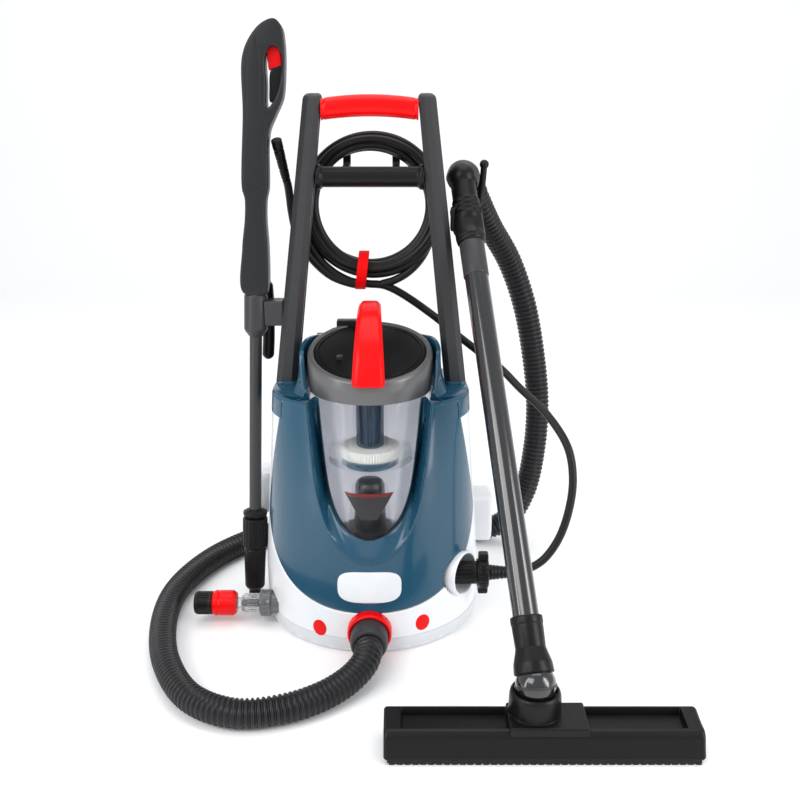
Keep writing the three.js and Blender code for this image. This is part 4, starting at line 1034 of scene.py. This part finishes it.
def carrying_strap():
    """An arched bar: a flat-topped section with chamfered sides, wider at the front foot."""
    middle = np.stack([STRAP[:, 2] * 0, STRAP[:, 0], STRAP[:, 1]], -1)
    path = curve_through(middle, 2.0)
    run = np.linspace(0, 1, len(path))
    at = np.concatenate([[0], np.cumsum(np.linalg.norm(np.diff(middle, axis=0), axis=1))])
    half = np.interp(run, at / at[-1], STRAP[:, 2])
    along = np.gradient(path, axis=0)
    along /= np.linalg.norm(along, axis=1, keepdims=True)
    up = np.stack([0 * along[:, 0], -along[:, 2], along[:, 1]], -1)
    side = np.array([1.0, 0, 0])
    section = [(-1.0, 2.5, -6.0), (-1.0, 0.0, -4.5), (-1.0, 0.0, 0.4), (-1.0, 0.7, 1.3), (-1.0, 4.0, 5.0),
               (-1.0, 5.2, 5.6), (-1.0, 9.0, 5.9), (1.0, -9.0, 5.9), (1.0, -5.2, 5.6), (1.0, -4.0, 5.0),
               (1.0, -0.7, 1.3), (1.0, 0.0, 0.4), (1.0, 0.0, -4.5), (1.0, -2.5, -6.0)]
    grid = np.stack([path + side * (s * half + dx)[:, None] + up * h for s, dx, h in section], 1)
    ends = np.clip(np.minimum(run, 1 - run) * 60, 0, 1)[:, None, None]
    grid = path[:, None] + (grid - path[:, None]) * (0.8 + 0.2 * ends)
    thing = skin("carry_strap", capped(grid), sharp=28)
    dress(thing, "handle", RED, "red_plastic", "tank_handle")


clear_bowl()
bowl_stem()
filter_pieces()
tank_label()
lid_pieces()
lid_fittings()
carrying_strap()


# ---- Handle frame -------------------------------------------------------------------------------
RAIL_BASE, RAIL_TOP = 336.6, 727.0
CROSSBAR_Z, GRIP_Z = 617.0, 706.0


def rail_at(z):
    """An upright's middle across and front to back, and its half width, at height z."""
    t = (z - RAIL_BASE) / (RAIL_TOP - RAIL_BASE)
    return 119 - 42 * t, 30 + 50 * t, 15 - 3 * t


def upright(name, node, side):
    """A chamfered bar that leans in and back, with a shallow channel down its inner face."""
    z = np.concatenate([np.linspace(RAIL_BASE, RAIL_TOP - 8, 60),
                        RAIL_TOP - 8 + 8 * np.sin(np.linspace(0.2, 1.4, 8))])
    tuck = np.concatenate([np.zeros(60), 7 * (1 - np.cos(np.linspace(0.2, 1.4, 8)))])
    x, y, w = rail_at(z)
    w, d = w - tuck, 22.0 - tuck
    c = 8.0
    corners = [(w, -d + c), (w, d - 4), (w - 4, d), (-w + 4, d), (-w, d - 4), (-w, d - 10),
               (-w + 2.2, d - 12),
               (-w + 2.2, -d + c + 7), (-w, -d + c + 5), (-w, -d + c), (-w + c, -d), (w - c, -d)]
    grid = np.stack([np.stack([side * (x + cx), y + cy, z], -1) for cx, cy in corners], 1)
    thing = skin(name, capped(grid), sharp=25)
    add_bevel(thing, 1.4)
    dress(thing, "root", GRAPHITE, "graphite_plastic", node)


def foot_boots():
    """The shoulder sockets that the uprights stand in: superellipse rings that draw in at the top."""
    angle = around(64)
    for side, name in ((1, "foot_boot_right"), (-1, "foot_boot_left")):
        rows = []
        for grow, z in ((1.6, 331.5), (1.6, 335), (1.4, 338), (1.0, 340), (0.4, 340.6), (0.0, 340.6)):
            rows.append(np.stack([side * 118.8 + (15 + grow) * soft(np.cos(angle), 0.45) * 0.93,
                                  30.2 + (22 + grow) * soft(np.sin(angle), 0.45) * 0.96, np.full(64, z)],
                                 -1))
        dress(skin(name, capped(np.stack(rows))), "root", BLUE, "blue_shell")


def crossbar_pieces():
    """The bar between the uprights, and the two hooks behind it that hold the coil."""
    y = rail_at(CROSSBAR_Z)[1]
    half = 74.2 - 0.3
    bar = turned("cross_rail", [(0, -half), (17.5, -half), (17.5, 5 - half), (14, 9 - half), (14, half - 9),
                                (17.5, half - 5), (17.5, half), (0, half)], (0, y, CROSSBAR_Z), (1, 0, 0),
                 1.5)
    dress(bar, "root", BLACK, "black_plastic", "crossbar")
    for name, x in (("coil_hook_right", 30), ("coil_hook_left", -41)):
        path = curve_through([(x + 5.5, y + 6, CROSSBAR_Z + 4), (x + 5.5, 118, CROSSBAR_Z + 7),
                              (x + 5.5, 140, CROSSBAR_Z + 9), (x + 5.5, 146, CROSSBAR_Z + 20),
                              (x + 5.5, 146, CROSSBAR_Z + 32)], 2.0)
        hook = section_swept(name, path, [(-5.5, -3), (-5.5, 3), (-4.5, 4), (4.5, 4), (5.5, 3), (5.5, -3),
                                          (4.5, -4), (-4.5, -4)])
        dress(hook, "root", BLACK, "black_plastic")


def top_grip():
    """The red grip: a slightly bowed bar of superellipse section with a groove near each end."""
    u = np.linspace(-1, 1, 80)
    reach = 66.0
    centre = np.stack([u * reach, np.full(80, rail_at(GRIP_Z)[1]), GRIP_Z + 5 * (1 - u * u)], -1)
    a = around(48)
    radius = 17 - 1.2 * (np.abs(np.abs(u) - 0.94) < 0.012)
    ring = np.stack([0 * a, soft(np.cos(a), 0.85), 0.86 * soft(np.sin(a), 0.85)], -1)
    grid = centre[:, None] + radius[:, None, None] * ring[None]
    dress(skin("top_grip", capped(grid)), "root", RED, "red_plastic", "grip")


upright("frame_right", "upright_right", 1)
upright("frame_left", "upright_left", -1)
foot_boots()
crossbar_pieces()
top_grip()


# ---- Gun and lance ------------------------------------------------------------------------------
def turn_to(way):
    """The smallest rotation that takes +Z onto a direction."""
    way = unit(way)
    v = np.cross((0, 0, 1.0), way)
    k = np.array([[0, -v[2], v[1]], [v[2], 0, -v[0]], [-v[1], v[0], 0]])
    return np.eye(3) + k + k @ k / (1 + way[2])


GUN_FOOT = 461
GUN_BASE = lance_at(GUN_FOOT)
GUN_TURN = turn_to(LANCE_WAY)


def on_gun(points):
    """Outline points (x, height, thickness) placed on the gun, whose height runs up the lance."""
    return GUN_BASE + points[:, [0, 2, 1]] @ GUN_TURN.T


def nearest(point, line):
    """Which of a line's points is nearest to a point."""
    return int(np.argmin(np.linalg.norm(line - point, axis=1)))


def curved(points, step=2.0):
    """A closed smooth outline through a few points."""
    p = np.asarray(points, float)
    p = np.concatenate([p, np.zeros((len(p), 1))], 1)
    ring = curve_through(np.concatenate([p[-2:], p, p[:3]]), 0.5)
    first = nearest(p[0], ring[: len(ring) // 2])
    last = len(ring) // 2 + nearest(p[0], ring[len(ring) // 2:])
    return even(ring[first:last], step)[:, :2]


def along_lance(name, profile, z, slot, material, *nodes, body="gun", bevel=1.0, segments=64, shape=None):
    """A piece turned about the lance's line from height z up."""
    thing = turned(name, profile, lance_at(z), LANCE_WAY, bevel, segments, shape)
    return dress(thing, body, material, slot, *nodes)


def ribs(count, depth, low, high, above=0.0, duty=0.0):
    """Lengthwise ribs: the radius drops by depth between them, from low to high along the axis."""
    def shape(angle, radius, along):
        """The radius with the ribs cut in."""
        fade = np.clip((along - low) / 2, 0, 1) * np.clip((high - along) / 2, 0, 1)
        return radius - depth * fade * (np.cos(count * angle) > duty) * (radius > above)
    return shape


def cut_rings(depth, pitch, duty, past, above):
    """Rings cut across a sleeve: the radius drops by depth once in each pitch, beyond the first stretch."""
    def shape(angle, radius, along):
        """The radius with the rings cut in."""
        return radius - depth * (np.cos(along * TAU / pitch) > duty) * (along > past) * (radius > above)
    return shape


def gun_body_pieces():
    """The gun's shell with its guard hole, the web in the guard, the grip panel and the trigger."""
    outline = [(-16, 0), (16, 0), (18, 6), (17.5, 60), (14.2, 102), (14.5, 128), (17, 142), (18, 216),
               (27, 240),
               (36, 262), (38.5, 300), (37, 335), (33, 353), (24, 361.5), (8, 356), (-8, 338), (-18, 312),
               (-17, 240), (-18, 142), (-14.2, 128), (-14, 102), (-17.6, 60)]
    hole = [(16, 248), (27, 263), (33.5, 290), (32, 320), (21, 327), (13.5, 316), (14, 280)]
    body = plate("gun_shell", curved(outline), [curved(hole)], 31.6, on_gun, 2.9)
    web = [(19, 256), (27, 261), (34, 288), (34, 304), (24, 300), (19, 296), (17.5, 275)]
    dress(plate("gun_guard_web", curved(web), [], 12, on_gun, 0.8), "gun", BLACK, "black_plastic")
    dress(body, "gun", GUN_DARK, "graphite_plastic", "gun_body")
    panel = [(-12, 148), (10, 148), (12, 205), (16, 234), (8, 250), (6, 318), (-2, 340), (-10, 318),
             (-12, 240)]
    dress(plate("gun_grip_panel", curved(panel), [], 33.2, on_gun, 1.4), "gun", GUN_DARK,
          "graphite_plastic")

    trigger = [(15.0, 327), (15.5, 305), (17, 297), (24, 300.5), (32.5, 301.5), (33, 314), (28, 327)]
    dress(plate("trigger_lever", curved(trigger, 1.0), [], 12, on_gun, 1.6), "trigger", RED, "red_plastic",
          "gun_trigger")


def lance_pieces():
    """Barrel, pipe, spray head and collar, turned about the lance, and the hose relief at the gun's top."""
    along_lance("gun_barrel", [(0, -62), (9.4, -62), (10.2, -61), (15.6, -54), (16.5, -51), (16.5, -4),
                               (15.2, -3),
                               (15.2, 0), (16.4, 1.5), (0, 1.5)], GUN_FOOT, "graphite_plastic", GRAPHITE)
    along_lance("lance_pipe", [(0, 0), (8.8, 0), (8.8, 274), (0, 274)], 135, "graphite_plastic", LANCE_GREY,
                "lance_tube", bevel=0)
    along_lance("spray_head", [(0, 0), (6, 0), (8.7, 2), (8.7, 14), (12, 15), (14.5, 19), (16, 76),
                               (14.8, 79),
                               (18.2, 82), (18.2, 124), (15, 126), (0, 126)], 8, "black_plastic", BLACK,
                "spray_nozzle", body="spray_nozzle", segments=160, shape=ribs(18, 0.9, 82, 124, 17))
    along_lance("lance_lock", [(9.3, 0), (17, 0), (17.5, 1), (17.5, 5.6), (14, 7), (12, 8.8), (9.3, 8.8),
                               (9.3, 0)],
                136, "black_plastic", BLACK, "lance_collar", body="lance_collar", bevel=0.4, segments=160,
                shape=ribs(20, 0.7, 0.6, 5.6, 15))
    start, end = lance_at(668) + (25.8, 6, -2), np.array([-119, 96, 612.0])
    long = float(np.linalg.norm(end - start))
    sleeve = turned("gun_hose_relief", [(0, 0), (7.5, 0), (7.5, 12), (6.2, long - 1), (5.9, long),
                                        (0, long)], start,
                    end - start, 0.6, 48, cut_rings(0.6, 5, 0.3, 14, 5))
    dress(sleeve, "gun", BLACK, "black_plastic", "gun_hose_sleeve")


def gun_rest():
    """The saddle on the left upright, its open ring round the barrel and the tail below it."""
    x, y, w = rail_at(420.0)
    grip = lance_at(434)
    saddle = block("lance_saddle", (grip[0] + 13, y - 14, 416), (-x - w + 2.5, y + 14, 451), 2.5)
    dress(saddle, "root", GRAPHITE, "graphite_plastic", "gun_holder")
    tongue = turned("lance_saddle_ring", [(17.2, -16), (20, -16), (20, 16), (17.2, 16), (17.2, -16)], grip,
                    LANCE_WAY,
                    0.6, 64)
    cut_front(tongue, grip, (0.75, 0.66, 0))
    dress(tongue, "root", BLACK, "black_plastic")
    spine = curve_through([grip + (14, 21, 40), grip + (15, 22, 10), grip + (14, 21, -40),
                           grip + (12, 18, -74)], 2.0)
    ends = np.minimum(np.arange(len(spine)), np.arange(len(spine))[::-1]) / 4.0
    tail = swept("lance_saddle_tail", spine, 8.5 * np.sqrt(1 - (1 - np.clip(ends, 0.05, 1)) ** 2), 32)
    dress(tail, "root", BLACK, "black_plastic")


def cut_front(thing, centre, way, reach=3.0):
    """Opens a ring: everything on the near side of a plane through it goes, and the cut is capped."""
    way = unit(way)
    work = bmesh.new()
    work.from_mesh(thing.data)
    geometry = work.verts[:] + work.edges[:] + work.faces[:]
    cut = bmesh.ops.bisect_plane(work, geom=geometry, plane_co=(np.asarray(centre) + way * reach) * MM,
                                 plane_no=-way, clear_outer=True)
    edges = [e for e in cut["geom_cut"] if isinstance(e, bmesh.types.BMEdge)]
    bmesh.ops.triangle_fill(work, edges=edges, use_beauty=True)
    bmesh.ops.recalc_face_normals(work, faces=work.faces)
    work.to_mesh(thing.data)
    work.free()


gun_body_pieces()
lance_pieces()
gun_rest()


# ---- Wand, neck and floor nozzle ----------------------------------------------------------------
def down_wand(name, profile, start, body, material, slot, *nodes, bevel=1.0, segments=64, shape=None):
    """A piece turned about the wand's line, starting that far down from its head."""
    place = WAND_HEAD - WAND_WAY * start
    thing = turned(name, profile, place, -WAND_WAY, bevel, segments, shape)
    return dress(thing, body, material, slot, *nodes)


def ball_profile(radius):
    """A half circle to turn into a ball."""
    a = np.linspace(-math.pi / 2, math.pi / 2, 24)
    return [(radius * math.cos(t), radius * math.sin(t)) for t in a]


def wand_handle_pieces():
    """The ridged handle, the sleeve under it and the hook arm behind the head."""
    hand = [(0, 0), (17.5, 0), (17.5, 38), (19.2, 40), (19.2, 43), (18, 44), (18, 46), (19.6, 47),
            (19.6, 50),
            (18, 51), (18, 53), (19.8, 54), (19.8, 57), (18.4, 58), (18.4, 61), (20.5, 64), (20.5, 98),
            (19.4, 99),
            (19.4, 100.5), (19.8, 101.5), (19, 104), (16.6, 106), (0, 106)]

    def dish(angle, radius, along):
        """Two thumb recesses below the ridges, on the front."""
        front = np.exp(-((np.mod(angle - DISH_ANGLE + math.pi, TAU) - math.pi) / 0.75) ** 4)
        return radius - 2.6 * front * np.exp(-((along - 81) / 12.5) ** 4) * (radius > 19)
    down_wand("wand_handle", hand, 0, "wand", BLACK, "black_plastic", "wand_head", bevel=0.7, segments=96,
              shape=dish)
    down_wand("wand_sleeve", [(0, 0), (17.2, 0), (17.2, 49), (16.6, 50.5), (0, 50.5)], 106.2, "wand",
              GRAPHITE,
              "graphite_plastic", bevel=0.4)
    spine = curve_through([(154, 108, 572), (158, 112, 601), (160, 112, 630)], 2.0)
    dress(swept("wand_hook", spine, 4.6, 24), "wand", BLACK, "black_plastic")
    knob = turned("wand_hook_knob", ball_profile(6.6), (160, 112, 630), (0, 0, 1), 0, 32)
    dress(knob, "wand", BLACK, "black_plastic")


def wand_head_pieces():
    """The ball at the head, its hood, the elbow that the hose enters and the pipe down to the neck."""
    ball = turned("wand_ball", ball_profile(21.5), WAND_HEAD, (0.2, 0.2, 1), 0, 64)
    dress(ball, "wand", BLACK, "black_plastic")
    hood = turned("wand_hood", [(21.6, -9), (23, -8), (23.4, 0), (22.6, 7), (19.6, 13), (17, 15.5),
                                (16, 14.4),
                                (21, 6), (21.6, -9)], WAND_HEAD + (2, 6, 1), (0.25, 0.75, 0.62), 0.4, 64)
    dress(hood, "wand", GRAPHITE, "graphite_plastic")
    elbow = curve_through([WAND_HEAD, WAND_HEAD + (6, 23, -1), WAND_HEAD + (14, 37, -11), (150, 139, 586)],
                          2.0)
    run = np.linspace(0, 1, len(elbow))
    radius = 17.5 + 1.6 * (run > 0.72) - 0.9 * (np.abs(run - 0.86) < 0.02)
    dress(swept("wand_elbow", elbow, radius, 48, sharp=40), "wand", BLACK, "black_plastic")
    down_wand("wand_pipe", [(0, 0), (15.9, 0), (15.9, WAND_LONG - 107), (0, WAND_LONG - 107)], 107, "wand",
              GLOSS_BLACK, "tube_black", "wand_tube", bevel=0)


def neck_pieces():
    """The cuff on the pipe's foot, the flare below it and the ball that the nozzle swings on."""
    down_wand("neck_cuff", [(0, 30), (16.3, 30), (16.3, 0), (18.6, 0), (19.5, 1.2), (19.5, 9), (18.7, 10),
                            (18.9, 12),
                            (18, 44), (0, 44)], WAND_LONG - 24, "neck", BLACK, "black_plastic",
              "nozzle_neck",
              bevel=0.6)
    foot = WAND_FOOT - WAND_WAY * 12
    flare = [(18, 0), (19.5, 6), (23, 18), (24, 30), (0, 40)]
    dress(turned("neck_flare", [(0, -6), *flare], foot, NECK_BALL - foot, 1.0), "neck", BLACK,
          "black_plastic")
    ball = turned("neck_ball_joint", ball_profile(24), NECK_BALL, (0, 0, 1), 0, 80)
    dress(ball, "neck", GLOSS_BLACK, "black_plastic")
    seam = turned("neck_seam", [(24.0, 0), (24.9, 0.4), (24.9, 2.6), (24.0, 3), (24.0, 0)], NECK_BALL,
                  NECK_BALL - foot + (0, 0, -30), 0.3)
    dress(seam, "neck", GRAPHITE, "graphite_plastic")


def wand_rest():
    """The block on the right upright and its open ring round the wand."""
    x, _, w = rail_at(542.0)
    clip_at = WAND_HEAD + WAND_WAY * (560 - WAND_HEAD[2]) / WAND_WAY[2]
    cradle = block("wand_cradle", (x + w + 0.5, clip_at[1] - 6, 545),
                   (clip_at[0] - 18, clip_at[1] + 12, 577), 2.0)
    dress(cradle, "root", BLACK, "black_plastic", "wand_holder")
    ring = turned("wand_cradle_ring", [(20.9, -16), (23.6, -16), (23.6, 16), (20.9, 16), (20.9, -16)],
                  clip_at,
                  WAND_WAY, 0.6)
    cut_front(ring, clip_at, (-0.25, 0.97, 0.1), 2.0)
    dress(ring, "root", BLACK, "black_plastic")


WAND_SIDE, WAND_UP = axes_across(WAND_WAY)
DISH_ANGLE = math.atan2(-WAND_UP[1], -WAND_SIDE[1])
NOZZLE_LEFT, NOZZLE_RIGHT = 22.0, 390.0
NECK_BALL = np.array([198.5, -333.6, 78.1])


def floor_nozzle():
    """A section of (depth, height) carried across, drawn in at its ends, with two windows sunk in it."""
    profile = rounded([(-378, 7.4), (-379.6, 8.5), (-371.5, 33.5), (-365.5, 38.6), (-324, 42),
                       (-316.4, 34.5),
                       (-316.4, 7.4)], 2.5, 5)
    fine = even(np.concatenate([profile, np.zeros((len(profile), 1))], 1), 1.1)[:, :2]
    x = np.concatenate([NOZZLE_LEFT + 4 * (1 - np.cos(np.linspace(0, math.pi / 2, 7))),
                        np.linspace(NOZZLE_LEFT + 5, NOZZLE_RIGHT - 5, 420),
                        NOZZLE_RIGHT - 4 * (1 - np.cos(np.linspace(math.pi / 2, 0, 7)))])
    edge = np.minimum(x - NOZZLE_LEFT, NOZZLE_RIGHT - x)
    tuck = np.clip(1 - edge / 4, 0, 1) ** 2 * 3.0
    middle = np.array([-347.0, 22.0])
    grid = np.zeros((len(x), len(fine), 3))
    grid[..., 0] = x[:, None]
    toward = (middle - fine) / np.linalg.norm(middle - fine, axis=1)[:, None]
    grid[..., 1:] = fine[None] + toward[None] * tuck[:, None, None]
    top = (fine[:, 1] > 37.5)[None, :]
    y = grid[..., 1]
    ends = [(42, 166), (258, 371)]
    sink = 9.0
    sunk = sum(np.clip((x[:, None] - a) / 1.5, 0, 1) * np.clip((b - x[:, None]) / 1.5, 0, 1) for a,
               b in ends)
    sunk = sunk * np.clip((y + 362) / 1.5, 0, 1) * np.clip((-327 - y) / 1.5, 0, 1) * top
    grid[..., 2] -= sink * sunk
    body = skin("nozzle_body", capped(grid), sharp=32)
    dress(body, "floor_nozzle", BLACK, "black_plastic", "floor_nozzle")


def nozzle_fittings():
    """The collar that holds the neck's ball, and the low fairing it stands on."""
    collar = turned("nozzle_collar", [(0, -42), (34, -42), (33, -38), (31, -33), (30.4, -14), (29.4, -9),
                                      (27.5, -6.5),
                                      (25.4, -6.5), (25.2, -12), (0, -12)], NECK_BALL, (0, 0, 1), 0.8)
    dress(collar, "floor_nozzle", BLACK, "black_plastic")
    fairing = block("nozzle_fairing", (166, -371, 30), (258, -318, 43.5), 2.5)
    dress(fairing, "floor_nozzle", BLACK, "black_plastic")


def nozzle_lips():
    """The brush strips: the front one is notched along its foot, the back one plain."""
    lips = [("front_lip", "brush_front", -377, -369, 2.6), ("back_lip", "brush_back", -329, -321, 0.0)]
    for name, node, y0, y1, deep in lips:
        x = np.linspace(26, 386, 721)
        low = deep * (np.cos(x / 9.0 * TAU) > 0.55)
        corner = [(y0, low), (y1, low), (y1, 7 + 0 * x), (y0, 7 + 0 * x)]
        grid = np.stack([np.stack([x, np.full_like(x, y), z + 0 * x], -1) for y, z in corner], 1)
        dress(skin(name, capped(grid), sharp=30), "floor_nozzle", RUBBER, "brush_black", node)


wand_handle_pieces()
wand_head_pieces()
neck_pieces()
wand_rest()
floor_nozzle()
nozzle_fittings()
nozzle_lips()


# ---- Ports and couplings ------------------------------------------------------------------------
def port_pieces():
    """The suction port's red ring and the grey cuff in it."""
    ahead = (0, -1, 0)
    ring = turned("port_collar", [(25.4, 0), (30, 0), (30, 12), (29, 15), (27.4, 16), (25.4, 15),
                                  (25.4, 0)],
                  (0, -142, PORT_Z), ahead, 0.8, 96, ribs(24, 0.8, 4, 13, 29.4, 0.3))
    dress(ring, "root", RED, "red_plastic", "port_ring")
    cuff = turned("hose_cuff", [(17, 0), (25, 0), (25, 40), (23.8, 41), (23.8, 43), (25.2, 44.5),
                                (25.2, 62), (24.6, 68),
                                (22.4, 73.4), (18.6, 74), (17, 70), (17, 0)], (0, -112, PORT_Z), ahead, 0.8,
                  96)
    dress(cuff, "front_cuff", CUFF_GREY, "graphite_plastic", "front_cuff")


def outlet_pieces():
    """The pressure outlet: white scoop, ribbed core, nut with two wings, and the hose's tapered relief."""
    way = (1, 0, 0)
    facing = unit((0.84, -0.54, 0.05))
    scoop = turned("outlet_scoop", [(0, -16), (31, -16), (31.5, 1), (31, 4.2), (29.4, 5.2), (27.8, 4),
                                    (26.6, 0),
                                    (23.5, -12), (0, -13)], np.array([128.0, -80, 88]), facing, 0.8, 96)
    dress(scoop, "root", WHITE, "white_shell", "outlet_bezel")
    core = turned("outlet_core", [(0, 0), (16, 0), (16, 50), (11, 50), (11, 56), (0, 56)],
                  (98, OUTLET_Y, OUTLET_Z), way, 0.8,
                  160,
                  ribs(20, 1.0, 12, 48, 15))
    dress(core, "root", BLACK, "black_plastic", "outlet_socket")
    nut = turned("outlet_nut_ring", [(11.3, 0), (19, 0), (19.4, 2), (22, 2.4), (22, 14.4), (20, 16),
                                     (13, 17), (11.3, 17),
                                     (11.3, 0)], (148.3, OUTLET_Y, OUTLET_Z), way, 0.7, 144,
                 ribs(24, 1.1, 3, 14, 20))
    dress(nut, "outlet_nut", BLACK, "black_plastic", "outlet_nut")
    for name, side in (("outlet_wing_top", 1), ("outlet_wing_low", -1)):
        low = min(88 + side * 19, 88 + side * 30.5)
        wing = block(name, (150, -85, low), (164, -71, low + 11.5), 2.6)
        dress(wing, "outlet_nut", BLACK, "black_plastic")
    relief = turned("outlet_relief", [(0, 0), (10.7, 0), (10.7, 14), (8, 39.4), (7.4, 40), (0, 40)],
                    (154.6, OUTLET_Y, OUTLET_Z), way,
                    0.6, 64, cut_rings(0.8, 5.2, 0.35, 15, 7))
    dress(relief, "root", BLACK, "black_plastic", "outlet_sleeve")


def inlet_pieces():
    """The water inlet: grey flange, clear adapter and its seal, red sleeve and ribbed nut."""
    way = (-1, 0, 0)
    flange = turned("inlet_collar", [(0, 0), (16, 0), (16, 28), (19, 30), (19, 43), (17.5, 45), (14, 45.2),
                                     (0, 45.2)],
                    (-114, INLET_Y, INLET_Z), way, 0.8, 144, ribs(20, 1.0, 31, 43, 18))
    dress(flange, "root", FLANGE_GREY, "black_plastic", "inlet_flange")
    clear = turned("clear_coupling", [(0, 0), (13.5, 0), (13.5, 21), (12.4, 24), (11, 26), (8, 26), (8, 66),
                                      (0, 66)],
                   (-159.3, INLET_Y, INLET_Z), way, 0.8, 160, ribs(16, 1.2, 2, 20, 13))
    dress(clear, "root", CLEAR_ADAPTER, "clear_adapter", "inlet_adapter")
    core = turned("coupling_seal", [(0, 0), (4, 0), (5.4, 4), (5.4, 22), (3, 26), (0, 26)],
                  (-160, INLET_Y, INLET_Z), way,
                  0.6)
    dress(core, "root", GRAPHITE, "graphite_plastic")

    def dimple(angle, radius, along):
        """A groove 1 mm deep round the sleeve."""
        ring = 1.0 * (np.abs(along - 25) < 1.0) * (radius > 15)
        return radius - ring
    sleeve = turned("quick_sleeve", [(8.3, 0), (15, 0), (15.6, 1.4), (18, 4.4), (18, 30), (15.5, 34),
                                     (8.3, 34), (8.3, 0)],
                    (-193, INLET_Y, INLET_Z), way, 0.7, 120, dimple)
    dress(sleeve, "connector_sleeve", RED, "red_plastic", "connector_sleeve")
    nut = turned("quick_nut", [(0, 0), (16.5, 0), (16.5, 22), (14.6, 25), (13, 25.5), (9, 25.5), (8.6, 12),
                               (0, 12)],
                 (-227.3, INLET_Y, INLET_Z), way, 0.8, 168, ribs(28, 0.9, 3, 22, 15.5))
    dress(nut, "connector_nut", BLACK, "black_plastic", "connector_nut")


def wheels():
    """Two wheels, each a dished white disc with a treaded tyre."""
    for side, word in ((1, "right"), (-1, "left")):
        start, way = (side * WHEEL_X, WHEEL_Y, WHEEL_Z), (side, 0, 0)
        hub = turned(f"wheel_disc_{word}", [(4.1, 0), (28, 0), (28, 22), (26.4, 22), (25, 20.6),
                                            (22.6, 18.4), (11, 19.4),
                                            (9.6, 20.4), (8.4, 21.4), (4.1, 21.4), (4.1, 0)], start, way,
                     0.8, 96)
        dress(hub, f"wheel_{word}", WHITE, "white_shell", f"wheel_hub_{word}")
        tyre = turned(f"tread_{word}", [(28.2, 0.4), (35, 0), (38, 3.6), (38, 18.4), (35, 22), (28.2, 21.6),
                                        (28.2, 0.4)],
                      start, way, 1.2, 192,
                      lambda a, r, d: r - 0.9 * (r > 37) * (np.cos(24 * a + 0.5 * np.sign(d - 11)) > 0.6))
        dress(tyre, f"wheel_{word}", RUBBER, "tyre_rubber", f"tyre_{word}")


port_pieces()
outlet_pieces()
inlet_pieces()
wheels()


def hose_strap():
    """The strap is a flat oval loop round the coil's foot."""
    a = around(96)
    centre = np.array([-13.5, 101.3, 481.4])
    ring = np.stack([3.0 * np.sin(a), 21.8 * np.cos(a), 27.2 * np.sin(a)], -1)
    rows = [centre + ring * grow + (dx, 0, 0) for grow,
            dx in ((0.96, -7.4), (1.03, -7.4), (1.03, 7.4), (0.96, 7.4))]
    band = skin("hook_loop_strap", np.stack(rows), loop_rows=True, sharp=50)
    dress(band, "root", STRAP_RED, "strap_red", "hose_strap")


hose_strap()

# CAD pieces that show as they are take the scene's finishes.
KEPT = {"wheel_axle": STEEL, "pump_head": CAST, "pump_motor": CAST, "vacuum_motor": CAST,
        "switch_housing": BLACK,
        "power_switch": RED, "cable_gland": BLACK}
for node, material in KEPT.items():
    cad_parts[node].material_slots[0].material = material

bpy.context.scene.view_settings.view_transform = "Standard"


# ---- Floor and studio light ---------------------------------------------------------------------
def studio():
    """A pale floor that curves up into a back wall, five soft lamps and an even room."""
    floor = Finish("studio_floor").surface(Base_Color=(0.96, 0.96, 0.96, 1), Roughness=0.9)
    wide, back, bend, high = 6000, 2200, 800, 5000
    across = np.linspace(-wide, wide, 2)
    turn = np.linspace(0, math.pi / 2, 12)
    depth = np.concatenate([[-wide], back + bend * np.sin(turn), [back + bend]])
    height = np.concatenate([[0], bend - bend * np.cos(turn), [high]])
    grid = np.stack([np.repeat(across[None], len(depth), 0), np.repeat(depth[:, None], 2, 1),
                     np.repeat(height[:, None], 2, 1)], -1)
    sweep = skin("backdrop", grid, loop_columns=False, sharp=180)
    sweep.data.materials.append(floor)

    def lamp(name, place, aim, size, power):
        """A rectangular light at a place, aimed at a point."""
        data = bpy.data.lights.new(name, "AREA")
        data.shape = "RECTANGLE"
        data.size, data.size_y = size
        data.energy = power
        light = linked(name, data)
        way = unit(np.array(aim) - np.array(place))
        side, up = axes_across(way)
        turn = Matrix([list(side), list(-up), list(-way)]).transposed().to_4x4()
        turn.translation = place
        light.matrix_world = turn

    lamp("key", (-1.6, -2.0, 2.4), (0, 0, 0.35), (1.6, 1.6), 34)
    lamp("fill", (2.4, -1.4, 1.4), (0, 0, 0.35), (1.4, 1.8), 22)
    lamp("top", (0.2, 0.3, 2.9), (0, 0, 0.3), (2.2, 2.2), 28)
    lamp("strip_left", (-1.3, -0.9, 0.8), (0, 0, 0.4), (0.22, 1.5), 7)
    lamp("strip_right", (1.4, -0.9, 0.8), (0, 0, 0.4), (0.22, 1.5), 7)
    world = bpy.data.worlds.new("room")
    world.use_nodes = True
    background = world.node_tree.nodes["Background"]
    background.inputs["Color"].default_value = (0.95, 0.97, 1.0, 1)
    background.inputs["Strength"].default_value = 0.70
    bpy.context.scene.world = world


studio()
